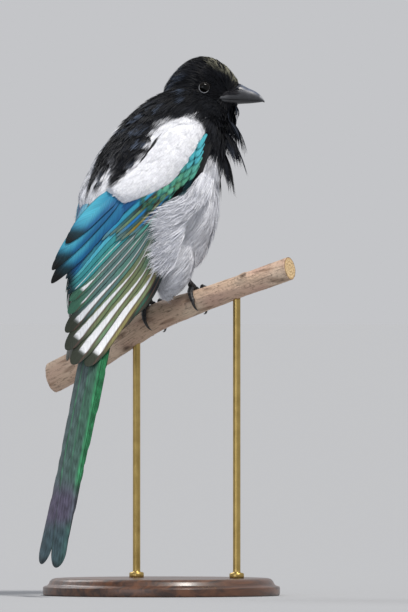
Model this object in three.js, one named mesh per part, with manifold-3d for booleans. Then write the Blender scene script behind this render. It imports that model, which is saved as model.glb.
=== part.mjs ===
// A life-size still model of a Eurasian magpie on a cut length of branch, held up by a plain display stand.
// Millimetres, +Z up. The breast faces +X, the bird's left side is +Y, and the bill turns to its right.
// The origin is the middle of the stand's underside, on the floor.
import * as THREE from "three";
import { mergeVertices } from "three/addons/utils/BufferGeometryUtils.js";
import Module from "manifold-3d";

const wasm = await Module();
wasm.setup();
const { Manifold, Mesh: SolidMesh } = wasm;

// Driving sizes
const GAP = 0.3; // between pieces that touch
const CLEAR = GAP + 0.08; // how much a neighbour is grown before it is cut away
const VANE = 0.55; // thickness of a feather's vane
const SHAFT = 0.2; // how far a shaft stands up from its vane
const STEP_UP = 0.88; // from one feather of a row to the next one over it
const TIP_ROUND = 24; // length of the rounded end of a long feather
const HEAD_TURN = 47; // degrees that the bill is turned to the right of the breast
const BODY_SIDES = 20;

// The spine from under the tail's root to the inside of the head:
// distance, then x, y, z of the middle, half width, reach to the breast and reach to the back
const SPINE = [
  [-14, -71, 0, 257, 7, 6, 7],
  [0, -62, 0, 267, 20, 16, 24],
  [32, -41, 0, 291, 39.5, 33, 48],
  [67, -15, 0, 317, 48, 44, 57],
  [98, 2, 0, 343, 48, 47, 52.5],
  [126, 17, -1, 367, 43, 43, 43],
  [153, 31, -4, 388, 32, 32, 32],
  [172, 40, -7, 404, 18, 21, 18],
  [186, 46, -9, 414, 8, 8, 8],
];
const BELLY = { middle: [5, 0, 313], reach: [38.5, 47, 56] }; // the fluffed belly and flanks
const NECK_BASE = 132; // distance along the spine
const HEAD_BASE = 161;

// The head, in its own frame: forward along the bill, side, and up, from the middle between the eyes
const HEAD_ORIGIN = new THREE.Vector3(43.9, -5.7, 407.2);
const HEAD = [
  // forward, top, bottom, half width
  [-33, 0, -12, 7],
  [-27.5, 9, -18, 14],
  [-21, 16, -22, 17.8],
  [-13.6, 22, -25, 20],
  [-5.6, 25.3, -27, 20.6],
  [2.4, 25.6, -27, 19],
  [8, 24, -26.5, 15.8],
  [14, 21, -25, 11.4],
  [20.6, 15.8, -22, 8],
  [25.5, 9.5, -17.5, 5.8],
  [29.5, 3, -13, 4.2],
];
const EYE_RADIUS = 5.2;
const EYE_SIDE = 16;

// The bill's two halves meet along the line of the mouth: forward, up
const MOUTH = [
  [8, -8.8],
  [20, -9.3],
  [34, -9.7],
  [45, -10.3],
  [48.6, -11.2],
];
const UPPER_BILL = [
  // forward, height over the line, half width
  [8, 3.5, 9.2],
  [11, 6, 11.2],
  [14, 8, 10.8],
  [22, 11.5, 8.3],
  [29, 12.2, 6.4],
  [36, 9.2, 4.9],
  [42, 6.6, 3.5],
  [46.4, 3.4, 2.1],
  [48.6, 0.9, 0.6],
];
const LOWER_BILL = [
  // forward, depth under the line, half width
  [8, 2.6, 8.4],
  [11, 3.4, 10.2],
  [14, 3.9, 9.8],
  [22, 4.1, 7.6],
  [30, 3.3, 5.4],
  [38, 2.5, 3.9],
  [44, 1.5, 2.4],
  [46.8, 0.6, 1.1],
];

// Throat hackles, in the head's frame: forward and up of the roots and of the tips, half spread, count
const HACKLES = [
  [17, -27, 33, -50, 14, 7],
  [14, -36, 29, -66, 20, 7],
  [9, -43, 20, -80, 26, 8],
];

// The tail, from its root down to the tip of the longest feathers
const TAIL_ROOT = new THREE.Vector3(-62, 0, 268);
const TAIL_TIP = new THREE.Vector3(-132.5, 0, 24);
const TAIL_FEATHERS = [254, 240, 216, 190, 162, 132]; // lengths, from the middle pair outward
const TAIL_HALF = 13.2;

// The folded wing, in a frame at its bend: down its length, across to the back, and outward
const WING_BEND = new THREE.Vector3(13.4, -44, 356.8);
const WING_SLOPE = 56.1; // degrees below the horizon
const LEFT_WING_TURN = new THREE.Euler(0.0975, -0.034, 0); // the left wing lies lower, under the right one
const LEFT_WING_SHIFT = new THREE.Vector3(2.2, -2, 0);
const WING_LIFT = [
  // down the wing, then lift at the leading edge, its slope across, and its bow
  [-12, -10.5, 0.85, -0.015],
  [0, 4.2, 0.8, -0.0153],
  [20, 20.5, 0.68, -0.0134],
  [40, 30.8, 0.54, -0.0102],
  [60, 38.9, 0.53, -0.0101],
  [80, 42.6, 0.48, -0.0092],
  [120, 44, 0.45, -0.0045],
  [160, 46, 0.15, 0],
  [206, 42, -0.6, 0],
];
const FLIGHT_FAN = [
  // down the wing, then how far across flight feathers 0, 6, 10 and 13 lie there
  [20, 0, 6, 17, 30],
  [50, -2, 9, 25, 42],
  [80, -8, 13, 34, 53],
  [110, -21, 18.5, 39, 57],
  [150, -23, 25, 39.5, 50],
  [190, -24, 31, 45, 55],
  [206, -24, 33, 47, 57],
];
const FLIGHT_TIPS = [134, 200, 205, 200, 189, 173, 163, 160, 160, 161, 162, 163, 157, 147];
const WING_CORE = [
  // down the wing, leading edge, back edge, underside, top
  [-9, 3, 13, -4, 1.2],
  [0, -2, 22, -5, 2],
  [30, -2, 34, -5, 1.8],
  [55, -4, 43, -3, 1.5],
  [74, -8, 49, -1.2, 1.1],
];
const WING_COVERTS = [
  // root, tip at the leading edge and at the back, first and last feather number, step, lift at root and tip
  [30, 66, 84, 1, 12.6, 1.45, 0.8, 2.5],
  [10, 46, 50, 0.5, 5.7, 1.3, 0.9, 4],
  [-6, 24, 26, 1, 5, 2, 0.8, 3.6],
];
const KEEP_OUT = [
  // the wing's own room, which its neighbours are cut back from
  [-11, 0, 18, -8, 4.4],
  [0, -6, 25, -8, 4.4],
  [30, -8, 41, -8, 5.2],
  [55, -14, 51, -7, 5.4],
  [84, -20, 64, -5, 5],
  [100, -27, 67, -4.6, 3.6],
  [150, -29, 60, -5.4, 3.4],
  [212, -31, 52, -3.2, 3],
];
const KEEP_OUT_COVERTS = [
  [-12, -3, 16, -2, 5.8],
  [20, -6, 17, -2, 6],
  [53, -11, 15, -2, 5.8],
];

// Scapulars on the shoulder and over the wing's upper edge: down, leading edge, back edge, underside, top
const SCAPULAR = [
  [-12, 13, 34, -5, 4.4],
  [-6, 7, 42, -6, 6.6],
  [10, 3, 47, -6, 7.6],
  [30, 3, 48, -6, 7.8],
  [50, 9, 50, -5, 7.6],
  [68, 24, 53, -3, 7],
  [76, 31, 54, -1, 6.2],
];
const SCAPULAR_ROWS = [
  // root, tip at the leading edge and at the back, first and last place across, count
  [-6, 24, 20, 0.2, 0.8, 3],
  [14, 50, 46, 0.2, 0.8, 3],
  [40, 76, 84, 0.2, 0.8, 3],
];

// The perch: distance along it from the right foot, height of its middle, radius
const PERCH = [
  [-131, 174.5, 12.2],
  [-87, 195, 11.4],
  [-42, 220.5, 11.3],
  [0, 235.2, 9.5],
  [48, 250.5, 8.8],
  [84, 262, 9.1],
];
const PERCH_FOOT = new THREE.Vector3(22.5, -18, 0);
const PERCH_TURN = 15; // degrees from square across the bird
const PERCH_SIDES = 12;
const KNOTS = [
  // distance along it, angle round it, radius
  [47, -50, 4.4],
  [70, 40, 3.4],
  [-66, -150, 4.6],
];

// Feet: each toe runs round the perch from its top, and ends in a claw
const FOOT_AT = { right: 0, left: -38 };
const TOE_RADIUS = 2.1;
const TOES = [
  // name, side step where it starts and ends, first and last angle round the perch, the claw's last angle
  ["hallux", 0, 2.5, -14, -92, -140],
  ["inner", -4.9, -11.5, 18, 96, 140],
  ["middle", 0, 0.5, 18, 112, 158],
  ["outer", 4.9, 11.5, 18, 96, 140],
];

// The fluff of the thighs, in two lobes that hang over the perch: x, distance to the side, z, radius
const FLUFF = [
  [
    [-8, 16, 300, 12],
    [-9, 21, 276, 17.5],
    [-9, 20, 259, 16.5],
    [-10, 17, 246, 11.5],
    [-11, 15, 236, 3],
  ],
  [
    [7, 19, 296, 12],
    [10, 23, 281, 14.5],
    [8, 23, 271, 11.5],
    [4, 22, 261, 3.5],
  ],
];

// The stand
const BASE_RADIUS = 95;
const BASE_HEIGHT = 14;
const BASE_SIDES = 32;
const ROD_RADIUS = 3;
const ROD_AT = [-55, 36]; // distances along the perch

const rad = THREE.MathUtils.degToRad;
const clamp = THREE.MathUtils.clamp;
const lerp = THREE.MathUtils.lerp;
const vec = (x, y, z) => new THREE.Vector3(x, y, z);
const UP = vec(0, 0, 1);

// A smooth curve through rows of [at, value, value, ...]
function keyed(rows) {
  return (at) => {
    let k = 0;
    while (k < rows.length - 2 && at > rows[k + 1][0]) k += 1;
    const [a, b] = [rows[k], rows[k + 1]];
    const before = rows[k - 1] ?? a;
    const after = rows[k + 2] ?? b;
    const span = b[0] - a[0];
    const f = clamp((at - a[0]) / span, 0, 1);
    const [f2, f3] = [f * f, f * f * f];
    return a.slice(1).map((from, i) => {
      const to = b[i + 1];
      const leave = ((to - before[i + 1]) / (b[0] - before[0])) * span;
      const arrive = ((after[i + 1] - from) / (after[0] - a[0])) * span;
      const ends = (2 * f3 - 3 * f2 + 1) * from + (3 * f2 - 2 * f3) * to;
      return ends + (f3 - 2 * f2 + f) * leave + (f3 - f2) * arrive;
    });
  };
}

// Solids

function solid(points, faces) {
  const make = (tris) =>
    new Manifold(
      new SolidMesh({
        numProp: 3,
        vertProperties: new Float32Array(points.flatMap((p) => [p.x, p.y, p.z])),
        triVerts: new Uint32Array(tris.flat()),
      }),
    );
  const made = make(faces);
  return made.volume() < 0 ? make(faces.map((f) => [...f].reverse())) : made;
}

// One closed solid through rings of points, where a ring of one point is a tip.
// A flat form's rings run over its top and back under it, and both faces are split alike.
function skin(rings, flat = false) {
  const points = rings.flat();
  const faces = [];
  let start = 0;
  rings.slice(1).forEach((ring, k) => {
    const [n, m] = [rings[k].length, ring.length];
    const [a, b] = [start, start + n];
    const count = Math.max(n, m);
    for (let i = 0; i < count; i += 1) {
      const j = (i + 1) % count;
      if (n === 1) faces.push([a, b + j, b + i]);
      else if (m === 1) faces.push([a + i, a + j, b]);
      else if (flat && i >= count / 2) faces.push([a + i, a + j, b + i], [a + j, b + j, b + i]);
      else faces.push([a + i, a + j, b + j], [a + i, b + j, b + i]);
    }
    start += n;
  });
  for (let i = 1; i < rings[0].length - 1; i += 1) faces.push([0, i + 1, i]);
  for (let i = 1; i < rings.at(-1).length - 1; i += 1) faces.push([start, start + i, start + i + 1]);
  return solid(points, faces);
}

// A three.js geometry as a solid
function solidOf(geometry) {
  const bare = geometry.clone();
  bare.deleteAttribute("normal");
  bare.deleteAttribute("uv");
  const merged = mergeVertices(bare, 1e-4);
  const at = merged.attributes.position;
  const points = Array.from({ length: at.count }, (_, i) => vec(at.getX(i), at.getY(i), at.getZ(i)));
  const index = merged.index.array;
  const faces = [];
  for (let i = 0; i < index.length; i += 3) {
    const [a, b, c] = index.slice(i, i + 3);
    if (a !== b && b !== c && c !== a) faces.push([a, b, c]);
  }
  return solid(points, faces);
}

const join = (pieces) => Manifold.union(pieces);
const largest = (piece) => piece.decompose().reduce((a, b) => (a.volume() > b.volume() ? a : b));
const moved = (piece, at) => piece.translate([at.x, at.y, at.z]);

// A round tube through points, with a radius for each
function tube(points, radii, sides) {
  const curve = new THREE.CatmullRomCurve3(points);
  const rings = points.map((p, k) => {
    if (radii[k] < 0.05) return [p];
    const along = curve.getTangent(k / (points.length - 1));
    const across = vec(0.31, -0.9, 0.3).cross(along).normalize();
    const over = along.clone().cross(across).normalize();
    return Array.from({ length: sides }, (_, i) => {
      const a = (2 * Math.PI * i) / sides;
      return p
        .clone()
        .addScaledVector(across, Math.cos(a) * radii[k])
        .addScaledVector(over, Math.sin(a) * radii[k]);
    });
  });
  return skin(rings);
}

// Body and head

const spineAt = keyed(SPINE);

function spineFrame(s) {
  const [x, y, z, half, breast, back] = spineAt(s);
  const [ahead, behind] = [spineAt(s + 1), spineAt(s - 1)];
  const tangent = vec(ahead[0] - behind[0], ahead[1] - behind[1], ahead[2] - behind[2]).normalize();
  const dorsal = tangent.clone().cross(vec(0, 1, 0)).normalize();
  return { middle: vec(x, y, z), tangent, dorsal, half, breast, back };
}

// A point round the spine, with the angle from the back towards the bird's right
function roundSpine(at, angle, grow) {
  const reach = Math.cos(angle) > 0 ? at.back : at.breast;
  return at.middle
    .clone()
    .addScaledVector(at.dorsal, Math.cos(angle) * (reach + grow))
    .addScaledVector(vec(0, -1, 0), Math.sin(angle) * (at.half + grow));
}

function bodyForm(grow = 0) {
  const [first, last] = [SPINE[0][0], SPINE.at(-1)[0]];
  const count = 18;
  const rings = [];
  for (let k = 0; k <= count; k += 1) {
    const at = spineFrame(first + ((last - first) * k) / count);
    if (k === 0) at.middle.addScaledVector(at.tangent, -grow);
    const step = (2 * Math.PI) / BODY_SIDES;
    rings.push(Array.from({ length: BODY_SIDES }, (_, i) => roundSpine(at, step * i, grow)));
  }
  return skin(rings);
}

// The body with its round, fluffed belly
function fluffed(grow) {
  const ball = new THREE.SphereGeometry(1, 18, 10).rotateX(Math.PI / 2);
  ball.scale(...BELLY.reach.map((r) => r + grow));
  return join([bodyForm(grow), moved(solidOf(ball), vec(...BELLY.middle))]);
}

const headForward = vec(Math.cos(rad(HEAD_TURN)), -Math.sin(rad(HEAD_TURN)), 0);
const headSide = vec(-Math.sin(rad(HEAD_TURN)), -Math.cos(rad(HEAD_TURN)), 0);
const inHead = (forward, side, up) =>
  HEAD_ORIGIN.clone()
    .addScaledVector(headForward, forward)
    .addScaledVector(headSide, side)
    .addScaledVector(UP, up);

function headForm(grow = 0) {
  const at = keyed(HEAD);
  const [first, last] = [HEAD[0][0], HEAD.at(-1)[0]];
  const rings = [];
  const count = 14;
  const sides = 18;
  for (let k = 0; k <= count; k += 1) {
    const forward = first + ((last - first) * (1 - Math.cos((Math.PI * k) / count))) / 2;
    const [top, bottom, half] = at(forward);
    const ring = [];
    for (let i = 0; i < sides; i += 1) {
      const a = (2 * Math.PI * i) / sides;
      const tall = (top - bottom) / 2 + grow;
      ring.push(inHead(forward, Math.sin(a) * (half + grow), (top + bottom) / 2 + Math.cos(a) * tall));
    }
    rings.push(ring);
  }
  return skin(rings);
}

// Half of the bill: turn is 1 for the upper half and -1 for the lower one
function billForm(rows, turn, grow = 0) {
  const mouth = keyed(MOUTH);
  const at = keyed(rows);
  const [first, last] = [rows[0][0], rows.at(-1)[0]];
  const count = 11;
  const rings = [];
  for (let k = 0; k <= count; k += 1) {
    const forward = first + ((last - first) * k) / count;
    const [height, half] = at(forward);
    const line = mouth(forward)[0] + turn * (GAP * 0.7 - grow);
    const ring = [];
    for (let i = 0; i <= 8; i += 1) {
      const a = (Math.PI * i) / 8;
      const out = forward + grow * ((2 * k) / count - 1);
      ring.push(inHead(out, -Math.cos(a) * (half + grow), line + turn * Math.sin(a) * (height + 2 * grow)));
    }
    rings.push(ring);
  }
  return skin(rings);
}

function ballInHead(radius, sides, forward, side, up, stretch = [1, 1, 1]) {
  const ball = new THREE.SphereGeometry(radius, sides, Math.round(sides * 0.65)).rotateX(Math.PI / 2);
  ball.scale(...stretch).rotateZ(-rad(HEAD_TURN));
  return moved(solidOf(ball), inHead(forward, side, up));
}

const eyeForm = (side, radius) => ballInHead(radius, 12, 0, side * EYE_SIDE, 0);

// Throat hackles: tapered locks that hang and curve outward
function hackles() {
  return HACKLES.flatMap(([forward, up, tipForward, tipUp, spread, count], row) =>
    Array.from({ length: count }, (_, i) => {
      const f = (2 * i) / (count - 1) - 1;
      const uneven = Math.sin(5 * i + 2 * row);
      const place = (g) => {
        const hang = up + (tipUp - up) * g * (1 - 0.28 * f * f + 0.16 * uneven);
        const grow = g * (1 - 0.5 * f * f + 0.14 * uneven);
        const out = forward * (1 - 0.45 * f * f) + (tipForward - forward) * grow;
        return inHead(out + 3 * Math.sin(Math.PI * g), spread * f * (1 + 0.35 * g), hang);
      };
      return tube([0, 0.35, 0.7, 1].map(place), [2.6, 3, 1.9, 0.3], 4);
    }),
  );
}

// Feathers

// A vane from its root to its tip. place gives the point for a distance down, a place across and a height,
// where a place across of -1 or 1 is the vane's edge.
function vane(root, tip, place, shaft = SHAFT) {
  const bend = 1 - Math.min(TIP_ROUND, 0.3 * (tip - root)) / (tip - root);
  const rings = [0, bend * 0.4, bend, lerp(bend, 1, 0.66), 1].map((f) => {
    const down = lerp(root, tip, f);
    const round = Math.sqrt(Math.max(0.02, 1 - (Math.max(0, f - bend) / (1 - bend)) ** 2));
    const wide = (0.7 + 0.3 * Math.min(1, (f * 3) / bend)) * round;
    const top = f === 1 ? 0.7 * VANE : VANE;
    const across = shaft ? [-wide, 0, wide] : [-wide, wide];
    const over = across.map((a) => place(down, a, a ? top : top + shaft, f));
    return [...over, ...across.reverse().map((a) => place(down, a, 0, f))];
  });
  return skin(rings, true);
}

const liftAt = keyed(WING_LIFT);

// A point on a wing's sheet: side is -1 for the bird's right and 1 for its left, over is above the sheet
function onWing(side, down, across, over) {
  const [lead, slope, bow] = liftAt(down);
  const sheet = (values) => values[0] + values[1] * across + values[2] * across * across;
  const fall = (sheet(liftAt(down + 1)) - sheet(liftAt(down - 1))) / 2;
  const normal = vec(-fall, -(slope + 2 * bow * across), 1).normalize();
  const local = vec(down, across, sheet([lead, slope, bow])).addScaledVector(normal, over);
  const [c, s] = [Math.cos(rad(WING_SLOPE)), Math.sin(rad(WING_SLOPE))];
  const level = vec(Math.cos(rad(HEAD_TURN)), side * Math.sin(rad(HEAD_TURN)), 0);
  const out = vec(-Math.sin(rad(HEAD_TURN)), side * Math.cos(rad(HEAD_TURN)), 0);
  const fromBend = level
    .multiplyScalar(-c * local.x - s * local.y)
    .addScaledVector(UP, c * local.y - s * local.x)
    .addScaledVector(out, local.z);
  if (side > 0) fromBend.applyEuler(LEFT_WING_TURN).add(LEFT_WING_SHIFT);
  return WING_BEND.clone().multiply(vec(1, -side, 1)).add(fromBend);
}

const padTop = (f, under, over, bulge) =>
  under + (over - under) * Math.sin(Math.PI * clamp(f, 0.03, 0.97)) ** bulge;

// A closed pad on a wing's sheet, from rows of [down, leading edge, back edge, underside, top]
function pad(side, rows, count, steps, bulge = 0.5) {
  const at = keyed(rows);
  const [first, last] = [rows[0][0], rows.at(-1)[0]];
  const rings = [];
  for (let k = 0; k <= count; k += 1) {
    const down = lerp(first, last, k / count);
    const [lead, back, under, over] = at(down);
    const ring = [];
    for (let i = 0; i <= steps; i += 1)
      ring.push(onWing(side, down, lerp(lead, back, i / steps), padTop(i / steps, under, over, bulge)));
    for (let i = steps; i >= 0; i -= 1) ring.push(onWing(side, down, lerp(lead, back, i / steps), under));
    rings.push(ring);
  }
  return skin(rings, true);
}

const fanAt = keyed(FLIGHT_FAN);

// How far across the wing a feather number lies, counted from the leading edge
function fanAcross(down, number) {
  const [a, b, c, d] = fanAt(down);
  const rows = [
    [-2, a - (b - a) / 3],
    [0, a],
    [6, b],
    [10, c],
    [13, d],
    [15, d + ((d - c) * 2) / 3],
  ];
  return keyed(rows)(number)[0];
}

function flightFeathers(side) {
  return FLIGHT_TIPS.map((tip, number) => {
    const half = number > 10 ? 1 : 0.8;
    const place = (down, across, height) => {
      const beside = across * half;
      return onWing(side, down, fanAcross(down, number + beside), height - STEP_UP * beside);
    };
    return vane(60, tip, place, number < 6 ? SHAFT : 0);
  });
}

function wingCoverts(side) {
  return WING_COVERTS.flatMap(([root, tipLead, tipBack, first, last, step, low, high]) => {
    const count = Math.round((last - first) / step) + 1;
    return Array.from({ length: count }, (_, i) => {
      const number = first + i * step;
      const tip = lerp(tipLead, tipBack, i / (count - 1));
      const half = 0.64 * step;
      const place = (down, across, height, f) => {
        const beside = across * half;
        const over = lerp(low, high, f) - (STEP_UP / step) * beside + height;
        return onWing(side, down, fanAcross(down, number + beside), over);
      };
      return vane(root, tip, place, 0);
    });
  });
}

function scapularFeathers(side) {
  const at = keyed(SCAPULAR);
  return SCAPULAR_ROWS.flatMap(([root, tipLead, tipBack, first, last, count], row) =>
    Array.from({ length: count }, (_, i) => {
      const middle = lerp(first, last, i / (count - 1));
      const tip = lerp(tipLead, tipBack, i / (count - 1)) + 2 * Math.sin(4 * i + row);
      const step = (last - first) / (count - 1);
      const place = (down, across, height, f) => {
        const beside = 0.68 * across;
        const g = middle + beside * step;
        const [lead, back, under, over] = at(down);
        const base = padTop(g, under, over, 0.5);
        return onWing(side, down, lerp(lead, back, g), base + lerp(-1.2, 1, f) - STEP_UP * beside + height);
      };
      return vane(root, tip, place, 0);
    }),
  );
}

const tailAlong = TAIL_TIP.clone().sub(TAIL_ROOT).normalize();
const tailOver = vec(tailAlong.z, 0, -tailAlong.x);

// A point of the tail, whose feathers fall away to both sides like a low roof
const onTail = (down, across, over) =>
  TAIL_ROOT.clone()
    .addScaledVector(tailAlong, down)
    .addScaledVector(vec(0, 1, 0), across)
    .addScaledVector(tailOver, over - 0.01 * across * across);

function tailFeathers() {
  const pieces = [];
  let layer = 0;
  TAIL_FEATHERS.forEach((length, pair) => {
    for (const side of [-1, 1]) {
      const middle = pair === 0 ? 3.4 : TAIL_HALF / 2 + 0.2 + 0.12 * pair;
      const half = pair === 0 ? 9.8 : TAIL_HALF / 2 - 0.1;
      const level = -STEP_UP * layer;
      const long = length - (side > 0 ? 3 : 0);
      const place = (down, across, height) => {
        const splay = pair ? 0 : 4 * clamp((down - 170) / 80, 0, 1);
        return onTail(down, side * (middle + splay + across * half), level + height);
      };
      pieces.push(vane(22, long, place, pair ? 0 : SHAFT));
      if (pair === 0) layer += 1;
    }
    if (pair > 0) layer += 1;
  });
  for (let i = 0; i < 4; i += 1) {
    const middle = -7.5 + 5 * i;
    const place = (down, across, height, f) =>
      onTail(down, middle + 4.2 * across, lerp(0.8, 2.1, f) - (STEP_UP * 4.2 * across) / 5 + height);
    pieces.push(vane(-2, 62 + 6 * Math.sin(Math.PI * ((i + 0.5) / 4)), place, 0));
  }
  return pieces;
}

function tailCore() {
  const rows = keyed([
    [-8, 9, -6, 3],
    [12, 12, -6.5, 2.2],
    [36, 12.5, -6.2, 0.8],
  ]);
  const rings = [-8, 2, 12, 24, 36].map((down) => {
    const [half, under, over] = rows(down);
    const top = [-1, -0.5, 0, 0.5, 1].map((a) => onTail(down, a * half, over - Math.abs(a) * 1.2));
    return [...top, ...[1, 0.5, 0, -0.5, -1].map((a) => onTail(down, a * half, under))];
  });
  return skin(rings, true);
}

// Perch and feet

const perchRun = vec(Math.sin(rad(PERCH_TURN)), -Math.cos(rad(PERCH_TURN)), 0);
const perchAt = keyed(PERCH);

function perchFrame(l) {
  const [z, radius] = perchAt(l);
  const rise = (perchAt(l + 1)[0] - perchAt(l - 1)[0]) / 2;
  const middle = PERCH_FOOT.clone().addScaledVector(perchRun, l).setZ(z);
  const tangent = perchRun.clone().addScaledVector(UP, rise).normalize();
  const ahead = UP.clone().cross(tangent).normalize();
  const top = tangent.clone().cross(ahead).normalize();
  return { middle, tangent, ahead, top, radius };
}

const onPerch = (at, angle, reach) =>
  at.middle
    .clone()
    .addScaledVector(at.top, Math.cos(angle) * reach)
    .addScaledVector(at.ahead, Math.sin(angle) * reach);

function perchForm(grow = 0) {
  const [first, last] = [PERCH[0][0], PERCH.at(-1)[0]];
  const count = 14;
  const rings = [];
  for (let k = 0; k <= count; k += 1) {
    const at = perchFrame(lerp(first, last, k / count));
    const ring = [];
    for (let i = 0; i < PERCH_SIDES; i += 1) {
      const a = (2 * Math.PI * (i + 0.5)) / PERCH_SIDES;
      ring.push(onPerch(at, a, at.radius + grow + 0.25 * Math.sin(3 * a + k)));
    }
    rings.push(ring);
  }
  return skin(rings);
}

function knots() {
  return KNOTS.map(([l, angle, radius]) => {
    const at = perchFrame(l);
    const ball = new THREE.SphereGeometry(radius, 8, 5).scale(1, 1.35, 1);
    return moved(solidOf(ball), onPerch(at, rad(angle), at.radius - radius * 0.45));
  });
}

function toeForms(foot, [, start, end, from, to, tip], perchGrown) {
  const mirror = foot === "left" ? -1 : 1;
  const path = (f, a, reach) => {
    const at = perchFrame(FOOT_AT[foot] + mirror * lerp(start, end, f));
    return onPerch(at, rad(a), at.radius + reach);
  };
  const points = [];
  const radii = [];
  for (let k = 0; k <= 6; k += 1) {
    const f = k / 6;
    points.push(path(f, lerp(from, to, f), TOE_RADIUS + 0.35));
    radii.push(TOE_RADIUS * (1.05 - 0.25 * f + (k % 2 ? 0.06 : -0.03)));
  }
  const clawPoints = [];
  const clawRadii = [];
  const turn = Math.sign(to - from);
  for (let k = 0; k <= 4; k += 1) {
    const f = k / 4;
    const reach = TOE_RADIUS + 0.7 + 1.2 * Math.sin(Math.PI * f) - 0.6 * f;
    clawPoints.push(path(1, lerp(to + turn * 5, tip, f), reach));
    clawRadii.push(k === 4 ? 0 : 1.25 * (1 - f) + 0.2);
  }
  return {
    toe: largest(tube(points, radii, 7).subtract(perchGrown)),
    claw: largest(tube(clawPoints, clawRadii, 6).subtract(perchGrown)),
  };
}

const model = new THREE.Group();

// Adds a solid to the model as a named mesh
function add(name, piece, colour, roughness, metalness = 0) {
  const mesh = piece.getMesh();
  const geometry = new THREE.BufferGeometry();
  const flat = new Float32Array(mesh.numVert * 3);
  for (let i = 0; i < mesh.numVert; i += 1) {
    const at = i * mesh.numProp;
    flat.set(mesh.vertProperties.subarray(at, at + 3), i * 3);
  }
  geometry.setAttribute("position", new THREE.BufferAttribute(flat, 3));
  geometry.setIndex(new THREE.BufferAttribute(mesh.triVerts, 1));
  geometry.computeVertexNormals();
  const material = new THREE.MeshStandardMaterial({ color: colour, roughness, metalness });
  const made = new THREE.Mesh(geometry, material);
  made.name = name;
  model.add(made);
}

// Head, neck and torso, parted from one form by two thin cuts
const whole = join([fluffed(0), headForm()]);
const neckCut = spineFrame(NECK_BASE);
const headCut = spineFrame(HEAD_BASE);
const above = (piece, cut, shift) =>
  piece.trimByPlane(cut.tangent.toArray(), cut.tangent.dot(cut.middle) + shift);
const below = (piece, cut, shift) =>
  piece.trimByPlane(cut.tangent.clone().negate().toArray(), -cut.tangent.dot(cut.middle) - shift);
const bodyGrown = fluffed(CLEAR);
const headGrown = above(join([bodyGrown, headForm(CLEAR)]), headCut, -GAP / 2);

let upperBill = billForm(UPPER_BILL, 1);
let head = above(whole, headCut, GAP / 2);
for (const side of [-1, 1]) {
  const lids = new THREE.TorusGeometry(EYE_RADIUS - 0.5, 0.9, 5, 14);
  lids.rotateX(Math.PI / 2).rotateZ(-rad(HEAD_TURN));
  head = head.add(moved(solidOf(lids), inHead(0, side * (EYE_SIDE + 2.9), 0)));
  upperBill = upperBill.subtract(ballInHead(0.8, 8, 31.5, side * 5, -3.4, [1.9, 1.4, 1]));
}
for (const side of [-1, 1]) head = head.subtract(eyeForm(side, EYE_RADIUS + GAP));
head = head.subtract(billForm(UPPER_BILL, 1, CLEAR + 0.3)).subtract(billForm(LOWER_BILL, -1, CLEAR + 0.6));
const neck = below(above(whole, neckCut, GAP / 2), headCut, -GAP / 2);
const throat = join([neck, ...hackles()]).subtract(below(bodyGrown, neckCut, GAP / 2)).subtract(headGrown);
add("head", largest(head), "#0b0b0f", 0.5);
add("bill_upper", largest(upperBill), "#1c1e22", 0.35);
add("bill_lower", billForm(LOWER_BILL, -1), "#1c1e22", 0.35);
add("eye_right", eyeForm(1, EYE_RADIUS), "#120c08", 0.08);
add("eye_left", eyeForm(-1, EYE_RADIUS), "#120c08", 0.08);
add("neck", largest(throat), "#0b0b0f", 0.5);
add("torso", largest(below(whole, neckCut, -GAP / 2)), "#e8e9ee", 0.8);

// Wings, scapulars and tail
const wings = [-1, 1].map((side) => {
  const keepOut = join([pad(side, KEEP_OUT, 10, 5, 0), pad(side, KEEP_OUT_COVERTS, 5, 2, 0)]);
  const feathers = join([pad(side, WING_CORE, 7, 5), ...flightFeathers(side), ...wingCoverts(side)]);
  return { side, keepOut, feathers: feathers.subtract(bodyGrown) };
});
const [right, left] = wings;
left.feathers = left.feathers.subtract(right.keepOut);
const tailWhole = join([tailCore(), ...tailFeathers()]).subtract(bodyGrown);
const tail = tailWhole.subtract(right.keepOut).subtract(left.keepOut);
add("wing_right", largest(right.feathers), "#1b6f9c", 0.4);
add("wing_left", largest(left.feathers), "#1b6f9c", 0.4);
wings.forEach(({ side, keepOut }) => {
  const feathers = join([pad(side, SCAPULAR, 7, 5), ...scapularFeathers(side)]);
  const clear = feathers.subtract(bodyGrown).subtract(keepOut);
  add(side < 0 ? "scapular_right" : "scapular_left", largest(clear), "#f4f4f4", 0.7);
});
add("tail", largest(tail), "#1d3f36", 0.4);

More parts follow.
